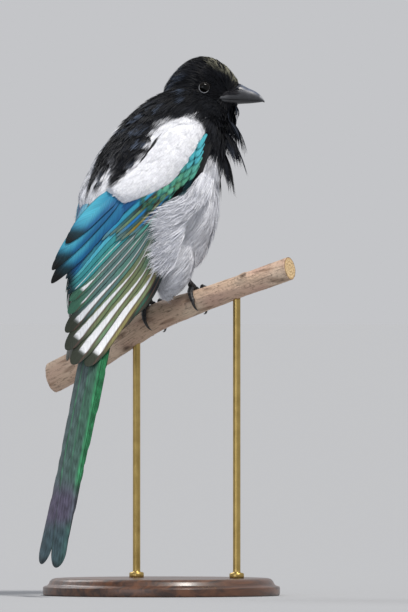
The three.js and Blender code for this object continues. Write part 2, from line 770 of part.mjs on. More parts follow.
// Legs, feet and claws
const perchGrown = perchForm(GAP);
for (const foot of ["right", "left"]) {
  const side = foot === "right" ? -1 : 1;
  const at = perchFrame(FOOT_AT[foot]);
  const toes = TOES.map((toe) => toeForms(foot, toe, perchGrown));
  const ankle = vec(2, side * 19, at.middle.z + 28);
  const heel = onPerch(at, 0, at.radius + TOE_RADIUS + 0.6);
  const shankForm = (grow) => {
    const start = ankle.clone().lerp(heel, -0.1 * grow);
    const end = heel.clone().lerp(ankle, -0.05 * grow);
    return tube([start, start.clone().lerp(end, 0.55), end], [2.3 + grow, 2 + grow, 3.2 + grow], 10);
  };
  const shank = shankForm(0).subtract(perchGrown).subtract(bodyGrown).subtract(join(toes.map((t) => t.toe)));
  const grown = shankForm(GAP + 0.3);
  const lobes = FLUFF.map((rows) => {
    const middles = rows.map(([x, across, z]) => vec(x, side * across, z));
    return tube(middles, rows.map((row) => row[3]), 12);
  });
  add(`tarsus_${foot}`, largest(shank), "#17181a", 0.5);
  toes.forEach((t, i) => {
    add(`toe_${foot}_${TOES[i][0]}`, largest(t.toe.subtract(grown)), "#17181a", 0.5);
    add(`claw_${foot}_${TOES[i][0]}`, t.claw, "#0e0e10", 0.35);
  });
  const fluff = join(lobes).subtract(bodyGrown).subtract(grown).subtract(perchGrown);
  add(`thigh_${foot}`, largest(fluff), "#dcdde2", 0.8);
}

// Perch and stand
add("perch", join([perchForm(), ...knots()]), "#b08d6c", 0.8);
const profile = [
  [0, 0],
  [BASE_RADIUS - 1.5, 0],
  [BASE_RADIUS, 1.5],
  [BASE_RADIUS, 6.5],
  [BASE_RADIUS - 3.5, 8],
  [BASE_RADIUS - 5.5, 11.5],
  [BASE_RADIUS - 9, BASE_HEIGHT],
  [0, BASE_HEIGHT],
];
const base = new THREE.LatheGeometry(profile.map(([r, z]) => new THREE.Vector2(r, z)), BASE_SIDES);
add("stand_base", solidOf(base.rotateX(Math.PI / 2)), "#2a1c14", 0.4);
ROD_AT.forEach((l, i) => {
  const at = perchFrame(l);
  const height = at.middle.z - BASE_HEIGHT - GAP;
  const rod = new THREE.CylinderGeometry(ROD_RADIUS, ROD_RADIUS, height, 14).rotateX(Math.PI / 2);
  const placed = moved(solidOf(rod), vec(at.middle.x, at.middle.y, BASE_HEIGHT + GAP + height / 2));
  add(`stand_rod_${i + 1}`, largest(placed.subtract(perchGrown)), "#b9a06a", 0.3, 1);
});

export default model;
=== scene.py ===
"""A still, life-size magpie on a cut length of branch, held up by a plain display stand.

Sizes are in millimetres until a mesh is made. +X is the way the breast faces, +Y the bird's left side.
The bill is turned to the bird's right, which is where the camera looks from.
"""

import math

import bpy
import numpy as np
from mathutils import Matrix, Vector
from mathutils.bvhtree import BVHTree


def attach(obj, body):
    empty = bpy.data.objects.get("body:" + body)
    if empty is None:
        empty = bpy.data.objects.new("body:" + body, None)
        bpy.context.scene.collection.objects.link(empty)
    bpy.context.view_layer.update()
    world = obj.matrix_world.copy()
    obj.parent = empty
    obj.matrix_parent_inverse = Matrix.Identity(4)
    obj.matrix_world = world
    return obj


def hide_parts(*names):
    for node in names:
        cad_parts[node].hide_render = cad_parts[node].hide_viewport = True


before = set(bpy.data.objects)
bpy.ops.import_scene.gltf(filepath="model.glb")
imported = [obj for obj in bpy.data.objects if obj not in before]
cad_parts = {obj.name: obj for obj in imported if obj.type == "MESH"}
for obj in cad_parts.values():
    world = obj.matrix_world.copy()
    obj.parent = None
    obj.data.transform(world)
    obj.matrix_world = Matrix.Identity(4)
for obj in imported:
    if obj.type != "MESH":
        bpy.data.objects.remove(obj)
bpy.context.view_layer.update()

rng = np.random.default_rng(41)

MM = 0.001
HEAD_TURN = math.radians(47)
COS, SIN = math.cos(HEAD_TURN), math.sin(HEAD_TURN)
UP = np.array([0.0, 0.0, 1.0])
HEAD_FORWARD = np.array([COS, -SIN, 0.0])  # along the bill, which is level in the picture
HEAD_SIDE = np.array([-SIN, -COS, 0.0])  # towards the camera

# The spine: distance, x, y, z of the middle, half width, reach to the breast and reach to the back
SPINE = [
    (-14, -71, 0, 257, 7, 6, 7),
    (0, -62, 0, 267, 20, 16, 24),
    (32, -41, 0, 291, 39.5, 33, 48),
    (67, -15, 0, 317, 48, 44, 57),
    (98, 2, 0, 343, 48, 47, 52.5),
    (126, 17, -1, 367, 43, 43, 43),
    (153, 31, -4, 388, 32, 32, 32),
    (172, 40, -7, 404, 18, 21, 18),
    (186, 46, -9, 414, 8, 8, 8),
]
BELLY_MIDDLE, BELLY_REACH = (5, 0, 313), (38.5, 47, 56)
HEAD_ORIGIN = np.array([43.9, -5.7, 407.2])
HEAD = [
    # forward, top, bottom, half width
    (-33, 0, -12, 7),
    (-27.5, 9, -18, 14),
    (-21, 16, -22, 17.8),
    (-13.6, 22, -25, 20),
    (-5.6, 25.3, -27, 20.6),
    (2.4, 25.6, -27, 19),
    (8, 24, -26.5, 15.8),
    (14, 21, -25, 11.4),
    (20.6, 15.8, -22, 8),
    (25.5, 9.5, -17.5, 5.8),
    (29.5, 3, -13, 4.2),
]
EYE_RADIUS, EYE_SIDE = 5.2, 16
LID_INNER = 4.6  # no feather lies nearer to the eye's middle
LID_OUTER = 4.7  # and none is rooted nearer
MOUTH = [(8, -8.8), (20, -9.3), (34, -9.7), (45, -10.3), (48.6, -11.2)]
UPPER_BILL = [
    # forward, height over the line of the mouth, half width
    (8, 3.5, 9.2),
    (11, 6, 11.2),
    (14, 8, 10.8),
    (22, 11.5, 8.3),
    (29, 12.2, 6.4),
    (36, 9.2, 4.9),
    (42, 6.6, 3.5),
    (46.4, 3.4, 2.1),
    (48.6, 0.9, 0.6),
]
LOWER_BILL = [
    # forward, depth under the line, half width
    (8, 2.6, 8.4),
    (11, 3.4, 10.2),
    (14, 3.9, 9.8),
    (22, 4.1, 7.6),
    (30, 3.3, 5.4),
    (38, 2.5, 3.9),
    (44, 1.5, 2.4),
    (46.8, 0.6, 1.1),
]
FLUFF = [
    # the thigh's two lobes: x, distance to the side, z, radius
    [(-8, 16, 300, 12), (-9, 21, 276, 17.5), (-9, 20, 259, 16.5), (-10, 17, 246, 11.5), (-11, 15, 236, 3)],
    [(7, 19, 296, 12), (10, 23, 281, 14.5), (8, 23, 271, 11.5), (4, 22, 261, 3.5)],
]

# The folded wing, in a frame at its bend: down its length, across to the back, and outward
WING_BEND = np.array([13.4, -44, 356.8])
WING_SLOPE = math.radians(56.1)
LEFT_TURN = (0.0975, -0.034)
LEFT_SHIFT = np.array([2.2, -2, 0])
WING_LIFT = [
    (-12, -10.5, 0.85, -0.015),
    (0, 4.2, 0.8, -0.0153),
    (20, 20.5, 0.68, -0.0134),
    (40, 30.8, 0.54, -0.0102),
    (60, 38.9, 0.53, -0.0101),
    (80, 42.6, 0.48, -0.0092),
    (120, 44, 0.45, -0.0045),
    (160, 46, 0.15, 0),
    (206, 42, -0.6, 0),
]
FLIGHT_FAN = [
    # down the wing, then how far across flight feathers 0, 6, 10 and 13 lie there
    (20, 0, 6, 17, 30),
    (50, -2, 9, 25, 42),
    (80, -8, 13, 34, 53),
    (110, -21, 18.5, 39, 57),
    (150, -23, 25, 39.5, 50),
    (190, -24, 31, 45, 55),
    (206, -24, 33, 47, 57),
]
FLIGHT_HALF = 0.8  # half of a flight feather's width, in places of the fan
STEP_UP = 0.88  # from one feather of a row to the next one over it
SCAPULAR = [
    # down, leading edge, back edge, underside, top
    (-12, 13, 34, -5, 4.4),
    (-6, 7, 42, -6, 6.6),
    (10, 3, 47, -6, 7.6),
    (30, 3, 48, -6, 7.8),
    (50, 9, 50, -5, 7.6),
    (68, 24, 53, -3, 7),
    (76, 31, 54, -1, 6.2),
]

TAIL_ROOT, TAIL_TIP = np.array([-62.0, 0, 268]), np.array([-132.5, 0, 24])
TAIL_FEATHERS = [254, 240, 216, 190, 162, 132]
TAIL_HALF = 13.2

PERCH = [
    # distance along it from the right foot, height of its middle, radius
    (-131, 174.5, 12.2),
    (-87, 195, 11.4),
    (-42, 220.5, 11.3),
    (0, 235.2, 9.5),
    (48, 250.5, 8.8),
    (84, 262, 9.1),
]
PERCH_FOOT = np.array([22.5, -18, 0])
PERCH_TURN = math.radians(15)
KNOTS = [(47, -50, 4.4), (70, 40, 3.4), (-66, -150, 4.6)]
FOOT_AT = {"right": 0, "left": -38}
TOE_RADIUS = 2.1
TOES = [
    # name, side step where it starts and ends, first and last angle round the perch, the claw's last angle
    ("hallux", 0, 2.5, -14, -92, -140),
    ("inner", -4.9, -11.5, 18, 96, 140),
    ("middle", 0, 0.5, 18, 112, 158),
    ("outer", 4.9, 11.5, 18, 96, 140),
]
BASE_RADIUS, BASE_HEIGHT = 95, 14
ROD_RADIUS = 3
ROD_AT = [-55, 36]


# Small tools


def unit(v):
    return v / np.maximum(np.linalg.norm(v, axis=-1, keepdims=True), 1e-9)


def smooth(low, high, x):
    f = np.clip((x - low) / (high - low), 0, 1)
    return f * f * (3 - 2 * f)


def mix(a, b, f):
    return a + (b - a) * np.asarray(f)[..., None]


def hermite(knots, values, x):
    """A smooth curve through values, whose last axis has one entry for each knot."""
    knots, x = np.asarray(knots, float), np.asarray(x, float)
    k = np.clip(np.searchsorted(knots, x, side="right") - 1, 0, len(knots) - 2)
    before, after = np.maximum(k - 1, 0), np.minimum(k + 2, len(knots) - 1)
    values = np.broadcast_to(values, x.shape + (len(knots),))
    pick = lambda i: np.take_along_axis(values, i[..., None], -1)[..., 0]
    span = knots[k + 1] - knots[k]
    f = np.clip((x - knots[k]) / span, 0, 1)
    a, b = pick(k), pick(k + 1)
    leave = (b - pick(before)) / (knots[k + 1] - knots[before]) * span
    arrive = (pick(after) - a) / (knots[after] - knots[k]) * span
    f2, f3 = f * f, f * f * f
    return (2 * f3 - 3 * f2 + 1) * a + (3 * f2 - 2 * f3) * b + (f3 - 2 * f2 + f) * leave + (f3 - f2) * arrive


def keyed(rows):
    rows = np.array(rows, float)
    return lambda x: [hermite(rows[:, 0], column, x) for column in rows[:, 1:].T]


def linear(code):
    """An sRGB hex colour as linear red, green and blue."""
    srgb = np.array([int(code[i : i + 2], 16) / 255 for i in (1, 3, 5)])
    return np.where(srgb <= 0.04045, srgb / 12.92, ((srgb + 0.055) / 1.055) ** 2.4)


def ripple(p, size, seed=0.0):
    """Soft, even noise from -1 to 1 with features of about size millimetres."""
    q = np.asarray(p) * (2.2 / size) + seed
    x, y, z = q[..., 0], q[..., 1], q[..., 2]
    one = np.sin(1.7 * x + 2.3 * np.sin(0.9 * y + z)) * np.cos(1.3 * y - 1.9 * np.sin(0.7 * z + 0.6 * x))
    two = np.sin(2.9 * z + 1.7 * np.sin(1.1 * x - y)) * np.cos(2.3 * x + 1.3 * y)
    return 0.6 * one + 0.4 * two


# Meshes


def piece(name, points, faces, material, tint=None, place=None, uv=None, replaces=()):
    """An object from arrays of points in millimetres and faces of three or four points."""
    points, faces = np.asarray(points, float), np.asarray(faces, int)
    mesh = bpy.data.meshes.new(name)
    mesh.vertices.add(len(points))
    mesh.vertices.foreach_set("co", (points * MM).astype(np.float32).ravel())
    mesh.loops.add(faces.size)
    mesh.loops.foreach_set("vertex_index", faces.astype(np.int32).ravel())
    mesh.polygons.add(len(faces))
    mesh.polygons.foreach_set("loop_start", np.arange(0, faces.size, faces.shape[1], dtype=np.int32))
    mesh.update(calc_edges=True)
    mesh.shade_smooth()
    if tint is not None:
        colours = np.concatenate([np.clip(tint, 0, 1), np.ones((len(points), 1))], 1)
        mesh.attributes.new("tint", "FLOAT_COLOR", "POINT").data.foreach_set("color", colours.ravel())
    if place is not None:
        mesh.attributes.new("place", "FLOAT_VECTOR", "POINT").data.foreach_set("vector", place.ravel())
    if uv is not None:
        mesh.uv_layers.new(name="OFBake").data.foreach_set("uv", uv[faces.ravel()].ravel())
    mesh.materials.append(material)
    made = bpy.data.objects.new(name, mesh)
    bpy.context.scene.collection.objects.link(made)
    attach(made, "root")
    if replaces:
        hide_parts(*replaces)
    return made


def joined(parts):
    """Several (points, faces) pairs as one."""
    start, points, faces = 0, [], []
    for p, f in parts:
        points.append(p)
        faces.append(np.asarray(f) + start)
        start += len(p)
    return np.concatenate(points), np.concatenate(faces)


def ring_faces(rings, around):
    k, i = np.meshgrid(np.arange(rings - 1), np.arange(around), indexing="ij")
    j = (i + 1) % around
    a, b = k * around, (k + 1) * around
    return np.stack([a + i, a + j, b + j, b + i], -1).reshape(-1, 4)


CLOSED_END = 0.02  # the share of its size that a form's end shrinks to


def lofted(rings):
    """A closed form through an array of rings of points, with its ends closed towards their middles."""
    rings = np.asarray(rings, float)
    count, around = rings.shape[:2]
    first, last = [ring.mean(0) + (ring - ring.mean(0)) * CLOSED_END for ring in (rings[0], rings[-1])]
    rings = np.concatenate([[first], rings, [last]])
    return rings.reshape(-1, 3), ring_faces(count + 2, around)


def with_ends(rows):
    """Values for the rings of a lofted form, repeated for the two rings that close its ends."""
    return np.concatenate([rows[:1], rows, rows[-1:]])


def tube(middles, radii, sides):
    """A round form along a line of middles."""
    middles, radii = np.asarray(middles, float), np.asarray(radii, float)
    along = unit(np.gradient(middles, axis=0))
    across = unit(np.cross(np.array([0.31, -0.9, 0.3]), along))
    over = np.cross(along, across)
    a = np.linspace(0, 2 * math.pi, sides, endpoint=False)
    turn = np.cos(a)[None, :, None] * across[:, None] + np.sin(a)[None, :, None] * over[:, None]
    return lofted(middles[:, None] + turn * radii[:, None, None])


def curve_through(points, count):
    points = np.asarray(points, float)
    at = np.linspace(0, len(points) - 1, count)
    return np.stack([hermite(np.arange(len(points)), column, at) for column in points.T], -1)


# Materials


def add_node(material, kind, inputs=(), **settings):
    made = material.node_tree.nodes.new(kind)
    for key, value in settings.items():
        setattr(made, key, value)
    for socket, value in dict(inputs).items():
        if isinstance(value, bpy.types.NodeSocket):
            material.node_tree.links.new(value, made.inputs[socket])
        else:
            made.inputs[socket].default_value = value
    return made


def finish_named(name, **settings):
    """A new material with its principled node, whose plain settings are set here."""
    material = bpy.data.materials.new(name)
    material.use_nodes = True
    surface = material.node_tree.nodes["Principled BSDF"]
    for socket, value in settings.items():
        surface.inputs[socket.replace("_", " ")].default_value = value
    return material, surface


def feed(material, surface, **links):
    for socket, value in links.items():
        material.node_tree.links.new(value, surface.inputs[socket.replace("_", " ")])


def rgba(code):
    return (*linear(code), 1)


def make_body_plumage():
    """Contour feathers: keratin barbs without a hard shine, whose colour comes from the melanin in them."""
    material, surface = finish_named("plumage keratin", IOR=1.54, Roughness=0.5, Specular_IOR_Level=0.1)
    tint = add_node(material, "ShaderNodeAttribute", attribute_name="tint")
    coordinates = add_node(material, "ShaderNodeTexCoord")
    # Barbs lie about 0.3 mm apart, drawn here at 1.2 mm so that they show
    fleck = add_node(
        material,
        "ShaderNodeTexNoise",
        {"Vector": coordinates.outputs["Object"], "Scale": 1 / (1.2 * MM), "Detail": 2},
    )
    shade = add_node(
        material,
        "ShaderNodeMapRange",
        {"Value": fleck.outputs["Fac"], "From Min": 0.3, "From Max": 0.7, "To Min": 0.86, "To Max": 1.1},
    )
    scaled = add_node(
        material,
        "ShaderNodeVectorMath",
        {0: tint.outputs["Color"], "Scale": shade.outputs["Result"]},
        operation="SCALE",
    )
    feed(material, surface, Base_Color=scaled.outputs["Vector"])
    return material


def make_vane(name, roughness, coat):
    """Flight feathers: a tight vane whose barbules give a satin, oily shine."""
    material, surface = finish_named(
        name, IOR=1.56, Roughness=roughness, Coat_Weight=coat, Coat_Roughness=0.3, Specular_IOR_Level=0.22
    )
    tint = add_node(material, "ShaderNodeAttribute", attribute_name="tint")
    place = add_node(material, "ShaderNodeAttribute", attribute_name="place")
    split = add_node(material, "ShaderNodeSeparateXYZ", {"Vector": place.outputs["Vector"]})
    # Barbs leave the shaft at a slant; they stand 0.5 mm apart, drawn at 1.1 mm so that they show
    side = add_node(material, "ShaderNodeMath", {0: split.outputs["Y"]}, operation="ABSOLUTE")
    slant = add_node(
        material,
        "ShaderNodeMath",
        {0: side.outputs["Value"], 1: -1.7, 2: split.outputs["X"]},
        operation="MULTIPLY_ADD",
    )
    along = add_node(
        material,
        "ShaderNodeCombineXYZ",
        {"X": slant.outputs["Value"], "Y": split.outputs["Y"], "Z": split.outputs["Z"]},
    )
    stretch = add_node(
        material,
        "ShaderNodeVectorMath",
        {0: along.outputs["Vector"], 1: (1 / 1.1, 1 / 9, 1.7)},
        operation="MULTIPLY",
    )
    barbs = add_node(
        material, "ShaderNodeTexNoise", {"Vector": stretch.outputs["Vector"], "Scale": 1.0, "Detail": 3}
    )
    shade = add_node(
        material,
        "ShaderNodeMapRange",
        {"Value": barbs.outputs["Fac"], "From Min": 0.3, "From Max": 0.7, "To Min": 0.78, "To Max": 1.14},
    )
    scaled = add_node(
        material,
        "ShaderNodeVectorMath",
        {0: tint.outputs["Color"], "Scale": shade.outputs["Result"]},
        operation="SCALE",
    )
    bump = add_node(
        material, "ShaderNodeBump", {"Height": barbs.outputs["Fac"], "Strength": 0.5, "Distance": 0.3 * MM}
    )
    feed(material, surface, Base_Color=scaled.outputs["Vector"], Normal=bump.outputs["Normal"])
    return material


def make_horn(name, dark, light, roughness, grain_mm, coat=0.25):
    """Keratin horn, grown in thin layers and worn to a dull gleam, with the colour kept on its points added:
    on the bill a painted highlight and glint, and the gape's grey.
    """
    material, surface = finish_named(name, IOR=1.55, Coat_Weight=coat, Coat_Roughness=0.22)
    coordinates = add_node(material, "ShaderNodeTexCoord")
    # The colour on the points: painted highlight and glint on the bill, and the grey of its gape
    highlight_and_gape = add_node(material, "ShaderNodeAttribute", attribute_name="tint")
    cloud = add_node(
        material,
        "ShaderNodeTexNoise",
        {"Vector": coordinates.outputs["Object"], "Scale": 1 / (grain_mm * MM), "Detail": 5},
    )
    ramp = add_node(
        material,
        "ShaderNodeMix",
        {"Factor": cloud.outputs["Fac"], "A": rgba(dark), "B": rgba(light)},
        data_type="RGBA",
    )
    both = add_node(
        material,
        "ShaderNodeMix",
        {"Factor": cloud.outputs["Fac"], "A": ramp.outputs[2], "B": highlight_and_gape.outputs["Color"]},
        data_type="RGBA",
        blend_type="ADD",
    )
    rough = add_node(
        material,
        "ShaderNodeMapRange",
        {"Value": cloud.outputs["Fac"], "To Min": roughness - 0.1, "To Max": roughness + 0.14},
    )
    bump = add_node(
        material, "ShaderNodeBump", {"Height": cloud.outputs["Fac"], "Strength": 0.3, "Distance": 0.3 * MM}
    )
    feed(material, surface, Roughness=rough.outputs["Result"], Normal=bump.outputs["Normal"])
    material.node_tree.links.new(both.outputs[2], surface.inputs["Base Color"])
    return material


def make_scutes():
    """Leg skin: overlapping horny scutes about 2.5 mm long, near black."""
    material, surface = finish_named("leg scutes", IOR=1.5)
    place = add_node(material, "ShaderNodeAttribute", attribute_name="place")
    split = add_node(material, "ShaderNodeSeparateXYZ", {"Vector": place.outputs["Vector"]})
    run = add_node(material, "ShaderNodeMath", {0: split.outputs["X"], 1: 1 / 2.5}, operation="MULTIPLY")
    step = add_node(material, "ShaderNodeMath", {0: run.outputs["Value"]}, operation="FRACT")
    ramp = add_node(
        material,
        "ShaderNodeMix",
        {"Factor": step.outputs["Value"], "A": rgba("#08080a"), "B": rgba("#2b2d31")},
        data_type="RGBA",
    )
    bump = add_node(
        material,
        "ShaderNodeBump",
        {"Height": step.outputs["Value"], "Strength": 0.7, "Distance": 0.35 * MM},
    )
    rough = add_node(
        material, "ShaderNodeMapRange", {"Value": step.outputs["Value"], "To Min": 0.62, "To Max": 0.4}
    )
    material.node_tree.links.new(ramp.outputs[2], surface.inputs["Base Color"])
    feed(material, surface, Roughness=rough.outputs["Result"], Normal=bump.outputs["Normal"])
    return material


def make_bark():
    """Thin young bark: pale tan, with long cracks, darker flakes and small pores."""
    material, surface = finish_named("willow bark", IOR=1.45)
    tint = add_node(material, "ShaderNodeAttribute", attribute_name="tint")
    place = add_node(material, "ShaderNodeAttribute", attribute_name="place")
    # Cracks run along the branch, about 1.1 mm apart and 9 mm long
    long_scale = add_node(
        material,
        "ShaderNodeVectorMath",
        {0: place.outputs["Vector"], 1: (1 / 9, 1 / 1.1, 1 / 1.1)},
        operation="MULTIPLY",
    )
    cracks = add_node(
        material,
        "ShaderNodeTexNoise",
        {"Vector": long_scale.outputs["Vector"], "Scale": 1.0, "Detail": 6, "Roughness": 0.6},
    )
    spots = add_node(
        material, "ShaderNodeTexNoise", {"Vector": place.outputs["Vector"], "Scale": 1 / 2.2, "Detail": 4}
    )
    dark = add_node(
        material,
        "ShaderNodeMapRange",
        {"Value": cracks.outputs["Fac"], "From Min": 0.34, "From Max": 0.47, "To Min": 0.6, "To Max": 1.04},
    )
    spotted = add_node(
        material,
        "ShaderNodeMapRange",
        {"Value": spots.outputs["Fac"], "From Min": 0.3, "From Max": 0.42, "To Min": 0.62, "To Max": 1.0},
    )
    both = add_node(
        material,
        "ShaderNodeMath",
        {0: dark.outputs["Result"], 1: spotted.outputs["Result"]},
        operation="MULTIPLY",
    )
    scaled = add_node(
        material,
        "ShaderNodeVectorMath",
        {0: tint.outputs["Color"], "Scale": both.outputs["Value"]},
        operation="SCALE",
    )
    bump = add_node(
        material, "ShaderNodeBump", {"Height": both.outputs["Value"], "Strength": 0.8, "Distance": 0.6 * MM}
    )
    rough = add_node(
        material, "ShaderNodeMapRange", {"Value": cracks.outputs["Fac"], "To Min": 0.9, "To Max": 0.62}
    )
    feed(
        material,
        surface,
        Base_Color=scaled.outputs["Vector"],
        Roughness=rough.outputs["Result"],
        Normal=bump.outputs["Normal"],
    )
    return material


def make_stained_wood():
    """Turned walnut with a hard oil finish: fine dark pores and growth rings about 4 mm apart."""
    material, surface = finish_named("oiled walnut", IOR=1.5, Coat_Weight=0.35, Coat_Roughness=0.2)
    coordinates = add_node(material, "ShaderNodeTexCoord")
    stretch = add_node(
        material,
        "ShaderNodeVectorMath",
        {0: coordinates.outputs["Object"], 1: (0.08 / MM, 1 / MM, 1 / MM)},
        operation="MULTIPLY",
    )
    rings = add_node(
        material,
        "ShaderNodeTexNoise",
        {"Vector": stretch.outputs["Vector"], "Scale": 1 / 5.5, "Detail": 4, "Distortion": 0.6},
    )
    pores = add_node(
        material, "ShaderNodeTexNoise", {"Vector": stretch.outputs["Vector"], "Scale": 1 / 0.9, "Detail": 3}
    )
    band = add_node(
        material, "ShaderNodeMapRange", {"Value": rings.outputs["Fac"], "From Min": 0.35, "From Max": 0.65}
    )
    ramp = add_node(
        material,
        "ShaderNodeMix",
        {"Factor": band.outputs["Result"], "A": rgba("#2a160d"), "B": rgba("#5b3822")},
        data_type="RGBA",
    )
    rough = add_node(
        material, "ShaderNodeMapRange", {"Value": pores.outputs["Fac"], "To Min": 0.55, "To Max": 0.3}
    )
    bump = add_node(
        material, "ShaderNodeBump", {"Height": pores.outputs["Fac"], "Strength": 0.25, "Distance": 0.2 * MM}
    )
    material.node_tree.links.new(ramp.outputs[2], surface.inputs["Base Color"])
    feed(material, surface, Roughness=rough.outputs["Result"], Normal=bump.outputs["Normal"])
    return material


def make_brass():
    """Drawn brass rod, brushed round and lightly tarnished."""
    material, surface = finish_named("drawn brass", Metallic=1.0)
    coordinates = add_node(material, "ShaderNodeTexCoord")
    stretch = add_node(
        material,
        "ShaderNodeVectorMath",
        {0: coordinates.outputs["Object"], 1: (0.05 / MM, 0.05 / MM, 1 / MM)},
        operation="MULTIPLY",
    )
    brushing = add_node(
        material, "ShaderNodeTexNoise", {"Vector": stretch.outputs["Vector"], "Scale": 1 / 0.8, "Detail": 3}
    )
    tarnish = add_node(
        material,
        "ShaderNodeTexNoise",
        {"Vector": coordinates.outputs["Object"], "Scale": 1 / (9 * MM), "Detail": 4},
    )
    ramp = add_node(
        material,
        "ShaderNodeMix",
        {"Factor": tarnish.outputs["Fac"], "A": rgba("#8d7440"), "B": rgba("#d0b572")},
        data_type="RGBA",
    )
    rough = add_node(
        material, "ShaderNodeMapRange", {"Value": brushing.outputs["Fac"], "To Min": 0.22, "To Max": 0.46}
    )
    material.node_tree.links.new(ramp.outputs[2], surface.inputs["Base Color"])
    feed(material, surface, Roughness=rough.outputs["Result"])
    return material


def make_painted(name, **settings):
    """A smooth surface whose colour is kept on its points: the cornea, or the lids' bare skin."""
    material, surface = finish_named(name, **settings)
    tint = add_node(material, "ShaderNodeAttribute", attribute_name="tint")
    feed(material, surface, Base_Color=tint.outputs["Color"])
    return material


BODY_PLUMAGE = make_body_plumage()
FLIGHT_VANE = make_vane("flight vane keratin", 0.4, 0.03)
TAIL_VANE = make_vane("tail vane keratin", 0.42, 0.04)
BILL_HORN = make_horn("bill horn", "#090a0d", "#1f232b", 0.38, 3, 0.3)
CLAW_HORN = make_horn("claw horn", "#050506", "#17181a", 0.34, 2)
LEG_SCUTES = make_scutes()
BARK = make_bark()
WALNUT = make_stained_wood()
BRASS = make_brass()
CORNEA = make_painted("wet cornea", IOR=1.376, Roughness=0.03, Specular_IOR_Level=0.3)
LID_SKIN = make_painted("bare lid skin", IOR=1.4, Roughness=0.4)

BLACK = linear("#07080b")
SOFT_BLACK = linear("#101217")
# The next two colours are painted sheen for black feathers
SHEEN = linear("#3a4352")
CROWN_SHEEN_GREY = linear("#7d7c6c")
WHITE = linear("#dfe1e7")
SHADE_WHITE = linear("#c3c7d5")

# Body, head and their directions

spine_at = keyed(SPINE)


def spine_frame(s):
    x, y, z, half, breast, back = spine_at(s)
    ahead, behind = np.stack(spine_at(s + 1)[:3], -1), np.stack(spine_at(s - 1)[:3], -1)
    tangent = unit(ahead - behind)
    dorsal = unit(np.cross(tangent, np.array([0.0, 1.0, 0.0])))
    return np.stack([x, y, z], -1), tangent, dorsal, half, breast, back


SPINE_START, SPINE_END = SPINE[0][0], SPINE[-1][0]
SPINE_STEPS = np.linspace(SPINE_START, SPINE_END, 161)
SPINE_MIDDLES, SPINE_TANGENTS, SPINE_DORSALS, _, SPINE_BREASTS, SPINE_BACKS = spine_frame(SPINE_STEPS)


def along_spine(p):
    """The nearest station of the spine, and how far a point stands to the back, from -1 to 1."""
    k = np.argmin(((p[:, None] - SPINE_MIDDLES[None]) ** 2).sum(-1), 1)
    off = p - SPINE_MIDDLES[k]
    dorsal = (off * SPINE_DORSALS[k]).sum(-1)
    reach = np.where(dorsal > 0, SPINE_BACKS[k], SPINE_BREASTS[k])
    return SPINE_STEPS[k], SPINE_TANGENTS[k], dorsal / reach


def in_head(forward, side, up):
    forward, side, up = np.broadcast_arrays(forward, side, up)
    return HEAD_ORIGIN + forward[..., None] * HEAD_FORWARD + side[..., None] * HEAD_SIDE + up[..., None] * UP


def to_head(p):
    off = p - HEAD_ORIGIN
    return off @ HEAD_FORWARD, off @ HEAD_SIDE, off @ UP


lift_at = keyed(WING_LIFT)
WING_COS, WING_SIN = math.cos(WING_SLOPE), math.sin(WING_SLOPE)


def left_wing_turn(about_x, about_y):
    c, s = math.cos(about_x), math.sin(about_x)
    roll = np.array([[1, 0, 0], [0, c, -s], [0, s, c]])
    c, s = math.cos(about_y), math.sin(about_y)
    return roll @ np.array([[c, 0, s], [0, 1, 0], [-s, 0, c]])


LEFT_MATRIX = left_wing_turn(*LEFT_TURN)


def wing_axes(side):
    """The level way along a wing, and the way out from it."""
    return np.array([COS, side * SIN, 0]), np.array([-SIN, side * COS, 0])


def on_wing(side, down, across, over):
    """A point on a wing's sheet: side is -1 for the bird's right and 1 for its left."""
    down, across, over = np.broadcast_arrays(*(np.asarray(v, float) for v in (down, across, over)))
    sheet = lambda v: v[0] + v[1] * across + v[2] * across * across
    here = lift_at(down)
    fall = (sheet(lift_at(down + 1)) - sheet(lift_at(down - 1))) / 2
    normal = unit(np.stack([-fall, -(here[1] + 2 * here[2] * across), np.ones_like(fall)], -1))
    local = np.stack([down, across, sheet(here)], -1) + normal * over[..., None]
    level, out = wing_axes(side)
    x, y, z = local[..., 0:1], local[..., 1:2], local[..., 2:3]
    off = level * (-WING_COS * x - WING_SIN * y) + UP * (WING_COS * y - WING_SIN * x) + out * z
    if side > 0:
        off = off @ LEFT_MATRIX.T + LEFT_SHIFT
    return WING_BEND * (1, -side, 1) + off


def off_wing(side, p):
    """Down, across and outward on a wing's frame for points in space."""
    off = p - WING_BEND * (1, -side, 1)
    if side > 0:
        off = (off - LEFT_SHIFT) @ LEFT_MATRIX
    level, out = wing_axes(side)
    a, b = off @ level, off @ UP
    down, across = -WING_COS * a - WING_SIN * b, -WING_SIN * a + WING_COS * b
    lead, slope, bow = lift_at(down)
    return down, across, off @ out - (lead + slope * across + bow * across**2)


fan_rows = keyed(FLIGHT_FAN)


def fan_across(down, number):
    """How far across the wing a feather number lies, counted from the leading edge."""
    down, number = np.broadcast_arrays(np.asarray(down, float), np.asarray(number, float))
    a, b, c, d = fan_rows(down)
    values = np.stack([a - (b - a) / 3, a, b, c, d, d + (d - c) * 2 / 3], -1)
    return hermite([-2, 0, 6, 10, 13, 15], values, number)


def body_form():
    s = np.linspace(SPINE_START, 162, 70)
    middle, _, dorsal, half, breast, back = spine_frame(s)
    a = np.linspace(0, 2 * math.pi, 64, endpoint=False)
    reach = np.where(np.cos(a)[None] > 0, back[:, None], breast[:, None])
    rings = (
        middle[:, None]
        + dorsal[:, None] * (np.cos(a) * reach)[..., None]
        + np.array([0.0, -1.0, 0.0]) * (np.sin(a)[None] * half[:, None])[..., None]
    )
    return lofted(rings)


def head_form():
    f = HEAD[0][0] + (HEAD[-1][0] - HEAD[0][0]) * (1 - np.cos(np.linspace(0, math.pi, 50))) / 2
    top, bottom, half = keyed(HEAD)(f)
    a = np.linspace(0, 2 * math.pi, 56, endpoint=False)
    up = ((top + bottom) / 2)[:, None] + np.cos(a) * ((top - bottom) / 2)[:, None]
    return lofted(in_head(f[:, None], np.sin(a) * half[:, None], up))


